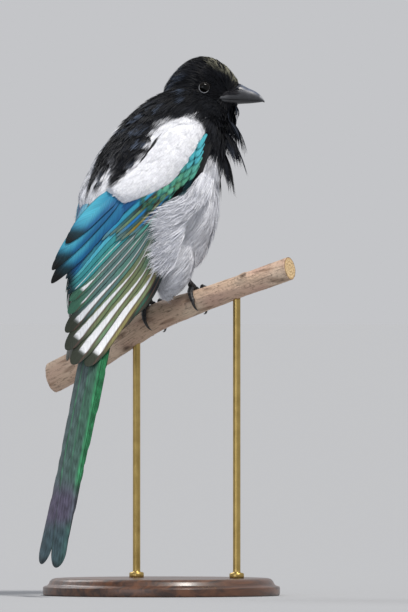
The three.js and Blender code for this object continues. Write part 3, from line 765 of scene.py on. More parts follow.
def belly_form():
    a, e = np.meshgrid(np.linspace(0, 2 * math.pi, 48, endpoint=False), np.linspace(-1.5, 1.5, 30))
    ball = np.stack([np.cos(a) * np.cos(e), np.sin(a) * np.cos(e), np.sin(e)], -1)
    return lofted(np.array(BELLY_MIDDLE) + ball * BELLY_REACH)


def scapular_form(side):
    at = keyed(SCAPULAR)
    down = np.linspace(SCAPULAR[0][0], SCAPULAR[-1][0], 34)
    lead, back, under, over = at(down)
    f = np.linspace(0, 1, 20)
    across = lead[:, None] + (back - lead)[:, None] * f
    bulge = np.sin(math.pi * np.clip(f, 0.03, 0.97)) ** 0.6
    over = over - (2 if side > 0 else 0)
    top = on_wing(side, down[:, None], across, under[:, None] + (over - under)[:, None] * bulge)
    low = on_wing(side, down[:, None], across[:, ::-1], under[:, None])
    return lofted(np.concatenate([top, low], 1))


def skin_form():
    parts = [body_form(), head_form(), belly_form()]
    for side in (-1, 1):
        parts.append(scapular_form(side))
        for rows in FLUFF:
            line = curve_through([(x, side * y, z) for x, y, z, _ in rows], 24)
            radii = curve_through([(r, 0, 0) for *_, r in rows], 24)[:, 0]
            parts.append(tube(line, radii, 28))
    return joined(parts)


COAT_DEPTH = 3.0  # how far the skin lies inside the body's outline
FACE_THINNER = 2.1  # how much of that depth the face goes without
SKIN_VOXEL = 1.9


def make_skin():
    """One smooth skin, drawn in from the outline by the depth of the coat, which is thinnest on the face."""
    points, faces = skin_form()
    mesh = bpy.data.meshes.new("skin")
    mesh.from_pydata((points * MM).tolist(), [], faces.tolist())
    made = bpy.data.objects.new("skin", mesh)
    bpy.context.scene.collection.objects.link(made)
    fused = made.modifiers.new("fused", "REMESH")
    fused.mode = "VOXEL"
    fused.voxel_size = SKIN_VOXEL * MM
    relaxed = made.modifiers.new("relaxed", "SMOOTH")
    relaxed.factor, relaxed.iterations = 0.6, 9
    shaped = bpy.data.meshes.new_from_object(made.evaluated_get(bpy.context.evaluated_depsgraph_get()))
    made.modifiers.clear()
    made.data = shaped
    count = len(shaped.vertices)
    co, normal = np.empty(count * 3, np.float32), np.empty(count * 3, np.float32)
    shaped.vertices.foreach_get("co", co)
    shaped.vertex_normals.foreach_get("vector", normal)
    co, normal = co.reshape(-1, 3).astype(float) / MM, normal.reshape(-1, 3).astype(float)
    forward, _, _ = to_head(co)
    s, _, _ = along_spine(co)
    depth = COAT_DEPTH - FACE_THINNER * smooth(140, 168, s) * smooth(-45, -5, forward)
    co -= normal * depth[:, None]
    shaped.vertices.foreach_set("co", (co * MM).astype(np.float32).ravel())
    shaped.update()
    shaped.shade_smooth()
    return made, co


# Markings: how far across the wing's sheet the white scapular patch starts and ends, for a distance down it

SCAPULAR_EDGE = keyed([(-18, 20), (-8, 9), (4, 5.3), (25, 5.5), (40, 9.6), (60, 20), (76, 39)])
MANTLE_EDGE = keyed(
    [(-18, 30), (-9, 40), (0, 46), (12, 46), (20, 43), (30, 44), (40, 46), (48, 46)]
    + [(60, 47.5), (66, 51), (72, 62), (80, 68)]
)


def scapular_share(p):
    """How white a point is for the scapular patch of the side that it lies on."""
    share = np.zeros(len(p))
    for side in (-1, 1):
        down, across, out = off_wing(side, p)
        uneven = 1.6 * ripple(p, 9, 3.0)
        inside = smooth(-1.5, 1.5, across - SCAPULAR_EDGE(down)[0] + uneven)
        inside *= smooth(-1.5, 1.5, MANTLE_EDGE(down)[0] - across + uneven)
        # White cuts a wedge into the mantle's lower end
        notch = smooth(1.2, -1.2, np.abs(across - 62 + 0.35 * (down - 44)) - 0.25 * (down - 42))
        notch = notch * smooth(42, 46, down)
        inside = np.maximum(inside, notch)
        inside *= smooth(-20, -16, down) * smooth(84, 80, down) * (out > -16) * (p[:, 1] * side > -12)
        share = np.maximum(share, inside)
    return share


def white_share(p):
    s, _, dorsal = along_spine(p)
    wide = np.abs(p[:, 1])
    uneven = 3.5 * ripple(p, 13, 1.0)
    belly_top = 335 + 20 * np.clip(wide / 44, 0, 1) ** 2 + uneven
    belly = smooth(3, -3, p[:, 2] - belly_top) * smooth(0.5, 0.38, dorsal) * smooth(-6, 4, s)
    # Of the bird's black thighs and vent, only the feathers round each shank are made black
    shank = smooth(12, 7, np.hypot(p[:, 0] - 6, wide - 18)) * smooth(268, 260, p[:, 2])
    return np.maximum(belly * (1 - shank), scapular_share(p))


def plumage_colour(p):
    """The coat's colour at points of the skin: the same for the skin and for the feathers rooted there."""
    white = white_share(p)
    forward, _, up = to_head(p)
    cloud = 0.5 + 0.5 * ripple(p, 11, 5.0)
    dark = mix(BLACK, SOFT_BLACK, cloud)
    # Painted sheen: single feathers of the nape and mantle are tinted blue-grey, and those of the forecrown
    # gold-grey, where they would catch the light
    nape = smooth(-8, -16, forward) * smooth(0.55, 0.8, 0.5 + 0.5 * ripple(p, 22, 8.0))
    dark = mix(dark, SHEEN, 0.75 * nape * (rng.random(len(p)) < 0.5))
    crown = smooth(12, 4, HEAD_TOP(forward)[0] - up) * smooth(1, 9, forward)
    dark = mix(dark, CROWN_SHEEN_GREY, 0.65 * crown * (rng.random(len(p)) < 0.6))
    light = mix(SHADE_WHITE, WHITE, 0.75 + 0.25 * cloud)
    light = mix(light, WHITE, scapular_share(p))
    return mix(dark, light, white), white


HEAD_TOP = keyed(HEAD)
BILL_ROOT = in_head(16.0, 0.0, -4.0)


def lie_of_coat(p, normal):
    """The direction that feathers lie in: back from the bill on the head, then down towards the tail."""
    _, tangent, _ = along_spine(p)
    from_bill = p - BILL_ROOT
    distance = np.linalg.norm(from_bill, axis=-1)
    flow = mix(unit(from_bill), -tangent, smooth(34, 74, distance))
    for side in (-1, 1):
        down, across, out = off_wing(side, p)
        near = smooth(-14, -4, down) * smooth(-10, 2, across) * smooth(62, 48, across)
        near = near * (out > -14) * (p[:, 1] * side > 0)
        along = on_wing(side, down + 4, across + 0.6, 0) - on_wing(side, down, across, 0)
        flow = mix(flow, unit(along), 0.85 * near)
    flow = flow - normal * (flow * normal).sum(-1, keepdims=True)
    return unit(flow)


skin, skin_points = make_skin()
skin_tree = BVHTree.FromPolygons(
    [Vector(p) for p in skin_points], [tuple(f.vertices) for f in skin.data.polygons], all_triangles=False
)


def snap(points):
    """The nearest points of the skin and the normals there."""
    found = [skin_tree.find_nearest(Vector(p)) for p in points]
    return np.array([f[0] for f in found], float), np.array([f[1] for f in found], float)


def unwrap(p):
    """A place from 0 to 1 on an unwrap of the skin, which goes round the spine, or round the head."""
    s, _, _ = along_spine(p)
    k = np.argmin(np.abs(SPINE_STEPS[None] - s[:, None]), 1)
    off = p - SPINE_MIDDLES[k]
    turn = np.arctan2(off[:, 1], (off * SPINE_DORSALS[k]).sum(-1)) / (2 * math.pi)
    forward, side, up = to_head(p)
    round_head = np.arctan2(side, up) / (2 * math.pi)
    body = np.stack([0.5 + 0.94 * turn, 0.03 + 0.55 * (s - SPINE_START) / (SPINE_END - SPINE_START)], -1)
    head = np.stack([0.5 + 0.94 * round_head, 0.66 + 0.3 * (forward + 36) / 70], -1)
    return np.where((s > 158)[:, None], head, body)


TRIES = 90000  # places thrown over the skin, of which the well spaced ones are kept


def scattered(spacing, keep, tries):
    """Points over the skin, no nearer to each other than a spacing that changes from place to place."""
    mesh = skin.data
    mesh.calc_loop_triangles()
    corners = np.empty(len(mesh.loop_triangles) * 3, np.int32)
    mesh.loop_triangles.foreach_get("vertices", corners)
    corners = skin_points[corners.reshape(-1, 3)]
    area = np.linalg.norm(np.cross(corners[:, 1] - corners[:, 0], corners[:, 2] - corners[:, 0]), axis=-1)
    chosen = corners[rng.choice(len(area), tries, p=area / area.sum())]
    a, b = rng.random((2, tries, 1))
    flip = a + b > 1
    a, b = np.where(flip, 1 - a, a), np.where(flip, 1 - b, b)
    points = chosen[:, 0] + a * (chosen[:, 1] - chosen[:, 0]) + b * (chosen[:, 2] - chosen[:, 0])
    points = points[keep(points)]
    gaps = spacing(points)
    cell = float(gaps.max())
    grid, kept = {}, []
    cells = np.floor(points / cell).astype(int)
    around = [(x, y, z) for x in (-1, 0, 1) for y in (-1, 0, 1) for z in (-1, 0, 1)]
    for i, (cx, cy, cz) in enumerate(cells.tolist()):
        p, gap = points[i], gaps[i]
        near = [j for x, y, z in around for j in grid.get((cx + x, cy + y, cz + z), ())]
        if near and (((points[near] - p) ** 2).sum(-1) < gap * gap).any():
            continue
        grid.setdefault((cx, cy, cz), []).append(i)
        kept.append(i)
    return points[kept]


def walked(roots, length, lift, count=5):
    """Lines that start at the roots and follow the coat over the skin, rising off it by lift."""
    p, normal = snap(roots)
    lines, normals = [p], [normal]
    flow = lie_of_coat(p, normal)
    for _ in range(1, count):
        p = p + flow * (length / (count - 1))[:, None]
        p, normal = snap(p)
        lines.append(p)
        normals.append(normal)
        flow = unit(0.5 * flow + 0.5 * lie_of_coat(p, normal))
        flow = unit(flow - normal * (flow * normal).sum(-1, keepdims=True))
    lines, normals = np.stack(lines, 1), np.stack(normals, 1)
    f = np.linspace(0, 1, count)
    return lines + normals * (lift[:, None] * f)[..., None], normals


FEATHER_PATCH = 0.0014  # half of the room that a soft feather has on the UV map


def feathers_on(
    lines,
    normals,
    half_width,
    strands,
    barb,
    splay,
    root_tint,
    tip_tint,
    uneven=0.08,
    taper=0.35,
    rim=None,
    streak=0.07,
    loose=1.0,
):
    """Soft feathers, each a fan of thin barbs that follow its line: returns points, faces, tints and UVs.

    barb is half of a barb's width, and splay how much the fan opens. uneven and streak are how much the
    barbs differ in length and tone, taper is how much shorter the outer ones are, and loose how far they
    stand apart. rim is a colour for the feather's edge, with the shares of its half width where it starts
    and is full.
    """
    count, steps = lines.shape[:2]
    along = unit(np.gradient(lines, axis=1))
    across = unit(np.cross(normals, along))
    place = np.linspace(-1, 1, strands)
    f = np.linspace(0, 1, steps)
    lateral = place[None, :] + rng.normal(0, 0.5 / strands, (count, strands))
    reach = (1 - taper * lateral**2) * (1 + rng.normal(0, uneven, (count, strands)))
    reach = np.clip(reach, 0.3, 1.15)
    g = reach[..., None] * f  # how far along the feather each barb's points lie
    k = np.clip((g * (steps - 1)).astype(int), 0, steps - 2)
    h = g * (steps - 1) - k
    row = np.arange(count)[:, None, None]
    between = lambda values: values[row, k] * (1 - h)[..., None] + values[row, k + 1] * h[..., None]
    middle, side, top = between(lines), between(across), between(normals)
    widen = half_width[:, None, None] * (0.35 + 0.65 * smooth(0, 0.55, g)) * (
        1 - 0.25 * smooth(0.7, 1.05, g)
    )
    offset = lateral[..., None] * widen * (1 + splay * g * g)
    arch = -0.22 * np.abs(lateral[..., None]) ** 2 * widen
    lifted = loose * rng.normal(0, 0.22, (count, strands))[..., None] * g
    centre = middle + side * offset[..., None] + top * (arch + lifted)[..., None]
    wide = barb * (1 - 0.85 * f**1.6)[None, None] * (0.75 + 0.5 * rng.random((count, strands, 1)))
    roll = loose * rng.normal(0, 0.5, (count, strands, 1, 1))
    edge = side + top * roll
    left, right = centre - edge * wide[..., None], centre + edge * wide[..., None]
    pairs = np.stack([left[:, :, :-1], right[:, :, :-1]], 3).reshape(count, strands, -1, 3)
    points = np.concatenate([pairs, centre[:, :, -1:]], 2)
    per = points.shape[2]
    faces = [(2 * i, 2 * i + 1, 2 * i + 2) for i in range(steps - 2)]
    faces += [(2 * i + 1, 2 * i + 3, 2 * i + 2) for i in range(steps - 2)]
    faces.append((2 * steps - 4, 2 * steps - 3, 2 * steps - 2))
    start = np.arange(count * strands) * per
    faces = (start[:, None, None] + np.array(faces)[None]).reshape(-1, 3)
    at = np.append(np.repeat(f[:-1], 2), 1.0)
    tone = 1 + rng.normal(0, streak, (count, strands, 1, 1))
    paler = (tip_tint - root_tint)[:, None, None] * at[None, None, :, None] ** 1.5
    tint = (root_tint[:, None, None] + paler) * tone
    if rim is not None:
        colour, inner, outer = rim
        edge = np.maximum(
            smooth(inner, outer, np.abs(lateral))[..., None], smooth(0.8, 0.97, at)[None, None]
        )
        tint = mix(tint, colour, edge)
    home = unwrap(lines[:, 0])
    patch = np.stack(np.broadcast_arrays(lateral[..., None], 2 * at - 1), -1) * FEATHER_PATCH
    uv = home[:, None, None] + patch
    return points.reshape(-1, 3), faces, tint.reshape(-1, 3), uv.reshape(-1, 2)


def coat_piece(name, groups):
    """Groups of soft feathers as one object."""
    points, faces = joined([group[:2] for group in groups])
    tint, uv = (np.concatenate([group[k] for group in groups]) for k in (2, 3))
    return piece(name, points, faces, BODY_PLUMAGE, tint=tint, uv=uv)


# Vanes of the wings and tail


class Vanes:
    """Gathers feathers with tight vanes into one object, each on its own cell of the UV map."""

    def __init__(self):
        self.parts = []

    def add(
        self, root, tip, place, colour, half_mm, columns=9, rows=22, thick=0.4, shaft=0.35, blunt=26, notches=0
    ):
        """place takes down, across from -1 to 1, height over the feather's sheet, and share of the length."""
        f = 1 - (1 - np.linspace(0, 1, rows)) ** 1.5
        bend = 1 - min(blunt, 0.4 * (tip - root)) / (tip - root)
        round_off = np.sqrt(np.clip(1 - (np.clip(f - bend, 0, 1) / (1 - bend)) ** 2, 0.0016, 1))
        wide = (0.7 + 0.3 * np.minimum(1, f * 3 / bend)) * round_off
        across = np.linspace(-1, 1, columns)
        a = wide[:, None] * across[None]
        for _ in range(notches):
            at, side, deep = rng.uniform(0.3, 0.92), rng.choice([-1, 1]), rng.uniform(0.08, 0.2)
            a -= side * deep * np.exp(-(((f - at) / 0.012) ** 2))[:, None] * (across[None] == side)
        d, g = [np.broadcast_to(v[:, None], a.shape) for v in (root + (tip - root) * f, f)]
        edge = 1 - np.abs(across[None]) ** 3
        ridge = shaft * np.exp(-((a / 0.09) ** 2)) * (1 - 0.7 * g)
        top = place(d, a, thick * (0.5 + 0.5 * edge) + ridge, g)
        low = place(d, a, thick * 0.2 * (1 - edge), g)
        both = lambda over, under: np.concatenate([over, under[:, ::-1]], 1)
        around = 2 * columns
        i = np.arange(columns - 1)
        faces = [ring_faces(rows, around)]
        for base, turn in ((0, 1), ((rows - 1) * around, -1)):
            cap = np.stack([base + i, base + around - 1 - i, base + around - 2 - i, base + i + 1], -1)
            faces.append(cap[:, ::turn])
        tint = colour(d, a, g)
        spot = np.stack(
            [both(d, d), both(a, a) * half_mm, np.full((rows, around), float(len(self.parts)))], -1
        )
        sheet = np.stack([both(a * 0.22 + 0.25, a * 0.22 + 0.75), both(g, g)], -1)
        arrays = [v.reshape(-1, v.shape[-1]) for v in (both(top, low), both(tint, tint * 0.6), spot, sheet)]
        self.parts.append((np.concatenate(faces), *arrays))

    def build(self, name, material, replaces=()):
        cells = math.ceil(math.sqrt(len(self.parts)))
        points, faces = joined([(points, faces) for faces, points, *_ in self.parts])
        tint, spot = (np.concatenate([part[k] for part in self.parts]) for k in (2, 3))
        corners = [np.array([k % cells, k // cells]) + 0.04 for k in range(len(self.parts))]
        uv = np.concatenate(
            [(corner + 0.92 * part[4]) / cells for corner, part in zip(corners, self.parts)]
        )
        vane_forms.append((points, faces))
        return piece(name, points, faces, material, tint=tint, place=spot, uv=uv, replaces=replaces)


vane_forms = []

TEAL_GREY, OLIVE, GOLD = linear("#587876"), linear("#717d5a"), linear("#878155")
TIP_GREY, TIP_GREEN, TIP_BLACK, SHAFT_BROWN = linear("#34392f"), linear("#3f6e5a"), linear("#040506"), linear(
    "#5a433c"
)
BLUE, DEEP_BLUE, CYAN = linear("#16668f"), linear("#0a4a7c"), linear("#48a5bc")
SEA_GREEN, TURQUOISE, MOSS = linear("#559c80"), linear("#358a90"), linear("#5f6636")
DARK_TEAL, SLATE, PANEL_WHITE = linear("#0b2a33"), linear("#16191d"), linear("#e9ebef")

NO_WHITE = (300, 301, 0)
FLIGHTS = [
    # place in the fan, tip, where the white starts and is widest, its width, and the outer web's colour
    (0.4, 148, *NO_WHITE, SLATE),
    (0.8, 164, *NO_WHITE, SLATE),
    (1.2, 200, 102, 150, 0.62, GOLD),
    (2.2, 205, 108, 180, 0.62, OLIVE),
    (3.25, 198, 116, 182, 0.62, OLIVE),
    (4.2, 186.5, 122, 174, 0.58, TEAL_GREY),
    (5.2, 173, 130, 240, 0.3, TEAL_GREY),
    (6.05, 164, 138, 156, 0.62, TEAL_GREY),
    (7.0, 160, 140, 200, 0.3, TURQUOISE),
    (8.0, 158, *NO_WHITE, TURQUOISE),
    (8.75, 154, *NO_WHITE, CYAN),
    (9.4, 152, *NO_WHITE, BLUE),
    (10.1, 151, *NO_WHITE, DEEP_BLUE),
]
SHAFT_AT = -0.42


def flight_colour(number, tip, start, full, width, outer):
    end = tip - (13 if number < 7 else 7)

    def colour(d, a, g):
        beside = a * FLIGHT_HALF
        web = mix(outer, TEAL_GREY, 0.5 * smooth(118, 92, d) * (number < 7))
        web = mix(web, SEA_GREEN, 0.3 * smooth(0.3, 1, np.sin(d / 11 + 2.3 * number)))
        web = mix(web, TIP_GREY if number < 4.5 else TIP_GREEN, smooth(end - 20, end + 3, d) * (number < 7))
        web = mix(web, DARK_TEAL, smooth(end - 6, end + 4, d) * (number >= 7))
        wide = 0.09 + (width - 0.09) * np.clip((d - start) / (full - start), 0, 1)
        white = smooth(SHAFT_AT + 0.01, SHAFT_AT + 0.05, beside)
        white = white * smooth(SHAFT_AT + wide + 0.03, SHAFT_AT + wide - 0.02, beside)
        white = white * smooth(84, 100, d + 2 * number) * (width > 0)
        white = white * smooth(end + 1.5, end - 2.0 - 2 * beside, d)
        web = mix(web, PANEL_WHITE, white)
        web = mix(
            web, SHAFT_BROWN, 0.9 * smooth(0.065, 0.02, np.abs(beside - SHAFT_AT + 0.02)) * (number < 7)
        )
        return mix(web, TIP_BLACK, 0.75 * smooth(-0.72, -0.79, beside))

    return colour


LONG_TERTIAL = [
    # down, middle, half width
    (58, 38, 7.4),
    (75, 38.6, 8),
    (90, 38.6, 8.2),
    (104, 41.4, 8),
    (122, 43.4, 7.8),
    (138, 45.6, 7),
    (160, 47.6, 5),
]
MIDDLE_TERTIAL = [(58, 43, 7), (90, 46, 7.8), (115, 49.6, 7.5), (130, 51.6, 6.6), (150, 53, 5)]
SHORT_TERTIAL = [(58, 45, 7), (77, 46.6, 7.4), (100, 51, 7), (112, 53, 6), (128, 55.5, 4.6)]
TERTIALS = [
    # shape, tip, height over the sheet, where the painted cyan highlight is, where the dark tip begins
    (LONG_TERTIAL, 160, 0.7, 126, 141),
    (MIDDLE_TERTIAL, 151, 1.4, 120, 134),
    (SHORT_TERTIAL, 128, 2.1, 97, 113),
]
# The primary coverts' narrow streaks of blue, brown and olive gold
STREAKS = [
    "#4fb498", "#21160e", "#1a64a2", "#857428", "#33200f", "#1f6fb0", "#6f7a30", "#2b1d12", "#2388b0"
]
STREAK_HALF = 0.36


def streak_colour(shade, tip):
    def colour(d, a, g):
        web = mix(shade, TURQUOISE, 0.2 + 0.2 * np.sin(d / 7 + 40 * shade.sum()))
        web = mix(web, TEAL_GREY, 0.8 * smooth(tip - 16, tip - 3, d))
        return mix(web, TIP_BLACK, 0.6 * smooth(0.5, 0.95, np.abs(a)))

    return colour


def wing(side):
    vanes = Vanes()

    def base(down, across, height, g):
        return on_wing(side, down, 20 + 23.5 * across, height - 1.2)

    def base_colour(d, a, g):
        return np.broadcast_to(SLATE * 0.2, d.shape + (3,))

    vanes.add(-9, 84, base, base_colour, 20, columns=21, rows=30, blunt=12)
    for number, tip, *looks in FLIGHTS:

        def place(down, across, height, g, number=number):
            beside = across * FLIGHT_HALF
            clear = 6 * smooth(90, 160, down) if side > 0 else 0  # from the other wing's tips
            return on_wing(side, down, fan_across(down, number + beside), height - STEP_UP * beside + clear)

        # The far wing's tips are kept behind the near wing's
        tip -= 11 + 16 * float(smooth(4.5, 7.5, number)) if side > 0 else 0
        vanes.add(56, tip, place, flight_colour(number, tip, *looks), 6, columns=25, rows=54, notches=3)

    for rows, tip, rise, shine, dark in TERTIALS:
        path = keyed(rows)
        tip -= 10 if side > 0 else 0

        def place(down, across, height, g, path=path, rise=rise):
            middle, half = path(down)
            over = height - 2 + (rise + 2) * smooth(58, 92, down) - 0.7 * across
            return on_wing(side, down, middle + across * half, over)

        def colour(d, a, g, tip=tip, shine=shine, dark=dark):
            web = mix(BLUE, DEEP_BLUE, 0.65 * smooth(-0.3, -0.85, a))
            # The cyan spot about shine is a painted highlight
            web = mix(web, CYAN, 0.85 * np.exp(-(((d - shine) / 17) ** 2)) * smooth(-0.8, 0.1, a))
            web = mix(web, CYAN, 0.5 * smooth(0.1, 0.8, a) * smooth(dark, dark - 20, d))
            web = mix(web, DARK_TEAL, smooth(dark - 6, dark + 5, d - 3 * a))
            web = mix(web, TIP_BLACK, smooth(dark + 3, dark + 13, d))
            return mix(web, TIP_BLACK, 0.9 * smooth(0.9, 0.97, np.abs(a)))

        vanes.add(56 + 7 * rise, tip, place, colour, 8, columns=27, rows=50, blunt=36, notches=1)

    shades = [linear(c) for c in STREAKS]
    slates = [linear(c) for c in ("#2b333b", "#39454c")]
    numbers = [(0.4 + 0.62 * i, slates[i % 2], 86 + 4 * math.sin(7 * i)) for i in range(8)]
    numbers += [
        (5.45 + 0.43 * i, shade, 94 + 1.6 * i + 4.5 * math.sin(5 * i)) for i, shade in enumerate(shades)
    ]
    for number, shade, tip in numbers:

        def place(down, across, height, g, number=number):
            beside = across * STREAK_HALF
            return on_wing(
                side, down, fan_across(down, number + beside), height + 0.7 + 0.9 * g - 0.9 * beside
            )

        vanes.add(34, tip, place, streak_colour(shade, tip), 2, columns=9, rows=26, thick=0.3, blunt=30)
    label = "right" if side < 0 else "left"
    return vanes.build(f"wing_feathers_{label}", FLIGHT_VANE, [f"wing_{label}"])


TAIL_ALONG = unit(TAIL_TIP - TAIL_ROOT)
TAIL_OVER = np.array([TAIL_ALONG[2], 0, -TAIL_ALONG[0]])
TAIL_GREEN, TAIL_SHEEN_GREEN, TAIL_GREY = linear("#3b6a52"), linear("#3a9c65"), linear("#536367")
TAIL_VIOLET, TAIL_BLUE, TAIL_DARK = linear("#574f66"), linear("#3c5059"), linear("#090d0f")


def on_tail(down, across, over):
    down, across, over = np.broadcast_arrays(down, across, over)
    roof = over - 0.01 * across**2
    flat = TAIL_ROOT + down[..., None] * TAIL_ALONG + across[..., None] * np.array([0, 1.0, 0])
    return flat + roof[..., None] * TAIL_OVER


def tail_web(d, lateral, a, long):
    """The tail's colours, from grey on its left to green on its right, with a violet band before the tip, and
    a painted green sheen in waves, along its right edge, beside its shafts and on one edge of each feather.
    """
    sheen = 0.5 + 0.5 * np.sin(d / 19 + 2.2 * a + 1)
    green = 0.12 + 0.3 * sheen * smooth(12, -4, lateral) + 0.35 * smooth(2, -9, lateral)
    web = mix(TAIL_GREY, TAIL_GREEN, green)
    # Painted bright green sheen: along the tail's right edge, beside each shaft, and on one edge of each
    # feather
    web = mix(web, TAIL_SHEEN_GREEN, 0.85 * smooth(-9, -13, lateral))
    web = mix(web, TAIL_SHEEN_GREEN, 0.35 * smooth(0.06, 0.02, np.abs(a)) * smooth(190, 150, d))
    web = mix(web, TAIL_SHEEN_GREEN, 0.5 * smooth(-0.75, -0.9, a))
    web = mix(web, TAIL_VIOLET, 0.9 * smooth(176, 198, d) * smooth(232, 212, d))
    web = mix(web, TAIL_BLUE, 0.9 * smooth(210, 228, d))
    web = mix(web, TAIL_DARK, 0.7 * smooth(long - 8, long - 1, d))
    # Worn barbs lie unevenly, in flecks along the feather
    spot = np.stack([d * 0.3, lateral * 1.6, 0 * d], -1)
    web = web * (0.86 + 0.46 * ripple(spot, 3.5, 2.0) + 0.3 * ripple(spot, 1.8, 6.0))[..., None]
    return mix(np.maximum(web, 0), TAIL_DARK, 0.85 * smooth(0.93, 0.99, np.abs(a)))


def tail():
    vanes = Vanes()
    layer = 0
    for pair, length in enumerate(TAIL_FEATHERS):
        for side in (-1, 1):
            middle = 3.4 if pair == 0 else TAIL_HALF / 2 + 0.2 + 0.12 * pair
            half = 9.8 if pair == 0 else TAIL_HALF / 2 - 0.1
            level = -STEP_UP * layer
            long = length - (3 if side > 0 else 0)

            def lateral(down, across, side=side, middle=middle, half=half, pair=pair):
                parted = 0 if pair else np.clip((down - 170) / 80, 0, 1)
                return side * (middle + 5.2 * parted + across * half * (1 - 0.28 * parted))

            def place(down, across, height, g, lateral=lateral, level=level):
                curl = 0.5 * np.sin(down / 31 + level) * across
                return on_tail(down, lateral(down, across), level + height + curl * 0.6)

            def colour(d, a, g, lateral=lateral, long=long):
                return tail_web(d, lateral(d, a), a, long)

            vanes.add(18, long, place, colour, half, columns=25, rows=84, shaft=0.5, blunt=14, notches=5)
            if pair == 0:
                layer += 1
        if pair > 0:
            layer += 1
    for row in range(3):
        for i in range(7):
            middle = -10 + 3.3 * i + 0.6 * math.sin(5 * i + row)
            root, tip = -8 + 14 * row, 30 + 15 * row + 3 * math.sin(4 * i)

            def place(down, across, height, g, middle=middle, row=row):
                return on_tail(
                    down, middle + 3.4 * across, 2.8 - 0.5 * row + 0.9 * g - 0.7 * across + height
                )

            def colour(d, a, g):
                web = mix(TAIL_GREEN, TAIL_GREY, 0.5)
                return mix(web, TAIL_DARK, 0.8 * smooth(0.7, 0.98, np.maximum(np.abs(a), g)))

            vanes.add(root, tip, place, colour, 4, columns=9, rows=18, blunt=12)
    return vanes.build("tail_feathers", TAIL_VANE, ["tail"])


wing(-1)
wing(1)
tail()
vane_points, vane_faces = joined(vane_forms)
vane_tree = BVHTree.FromPolygons(vane_points.tolist(), vane_faces.tolist())


# The coat


def in_head_region(p):
    s, _, _ = along_spine(p)
    forward, _, _ = to_head(p)
    return (s > 146) & (forward > -40)


def under_wing(p, normal):
    """Whether a wing or the tail lies over the skin here, so that no feather is needed."""
    hidden = np.zeros(len(p), bool)
    for i, (place, away) in enumerate(zip(p, normal)):
        hidden[i] = vane_tree.ray_cast(Vector(place - away * 2), Vector(away), 34)[0] is not None
    return hidden


bill_mouth, bill_over, bill_under = keyed(MOUTH), keyed(UPPER_BILL), keyed(LOWER_BILL)


def in_bill(p):
    forward, side, up = to_head(p)
    off = up - bill_mouth(forward)[0]
    (high, wide), (deep, low) = bill_over(forward), bill_under(forward)
    reach = np.where(off > 0, off / high, off / deep) ** 2 + np.where(off > 0, side / wide, side / low) ** 2
    return (forward > 9) & (reach < 0.95)


def on_eye(side, reach, clear):
    return (np.abs(side) > 10) & (reach < clear)


def clear_of_eye(lines):
    """Moves feathers that would cross an eye out to its rim."""
    forward, side, up = to_head(lines)
    reach = np.hypot(forward, up)
    grow = np.where(on_eye(side, reach, LID_INNER), LID_INNER / np.maximum(reach, 0.5) - 1, 0)
    return lines + (grow * forward)[..., None] * HEAD_FORWARD + (grow * up)[..., None] * UP


def body_coat():
    """Mantle, nape and scapulars in black and white, and the soft white belly and flanks."""
    roots = scattered(lambda p: 2.75 - 0.4 * scapular_share(p), lambda p: ~in_head_region(p), TRIES)
    roots = roots[~under_wing(*snap(roots))]
    colour, white = plumage_colour(roots)
    share = scapular_share(roots)
    soft = (white > 0.5) & (share < 0.5)
    groups = {}
    for name, mask, length, half, strands, barb, splay, lift, uneven, loose in (
        ("mantle_feathers", white <= 0.5, 15.0, 4.2, 11, 0.45, 0.1, 2.6, 0.08, 0.7),
        ("scapular_feathers", (white > 0.5) & ~soft, 18.0, 5.2, 15, 0.66, 0.0, 1.3, 0.12, 0.12),
        ("belly_feathers", soft, 21.0, 4.8, 12, 0.46, 0.35, 3.6, 0.14, 0.35),
    ):
        chosen = roots[mask]
        size = length * (1 + rng.normal(0, 0.1, len(chosen)))
        lines, normals = walked(chosen, size, lift * (0.8 + 0.4 * rng.random(len(chosen))))
        pale = name != "mantle_feathers"
        tone = colour[mask] * (1 + rng.normal(0, 0.02 if pale else 0.2, (len(chosen), 1)))
        tip = np.clip(tone * 1.06, 0, 0.85) if pale else tone * 2.2
        half_width = half * (1 + rng.normal(0, 0.08, len(chosen)))
        streak = 0.03 if pale else 0.2
        groups[name] = feathers_on(
            lines, normals, half_width, strands, barb, splay, tone, tip, uneven, streak=streak, loose=loose
        )
    return groups


def head_coat():
    def keep(p):
        forward, side, up = to_head(p)
        return in_head_region(p) & ~on_eye(side, np.hypot(forward, up), LID_OUTER) & ~in_bill(p)

    roots = scattered(lambda p: np.where(to_head(p)[0] > -8, 1.3, 1.8), keep, TRIES)
    colour, _ = plumage_colour(roots)
    forward, _, up = to_head(roots)
    length = 6.0 + 6.5 * smooth(8, -30, forward)
    length = np.where(np.hypot(forward, up) < 10, 4.2, length)
    lift = 0.9 + 1.5 * smooth(0, -30, forward) + 1.6 * smooth(-14, -26, up)
    lines, normals = walked(roots, length * (1 + rng.normal(0, 0.1, len(roots))), lift)
    half = 1.1 + 1.5 * smooth(6, -26, forward)
    return feathers_on(
        clear_of_eye(lines), normals, half, 5, 0.26, 0.2, colour, colour * 2.0, 0.12, streak=0.2
    )


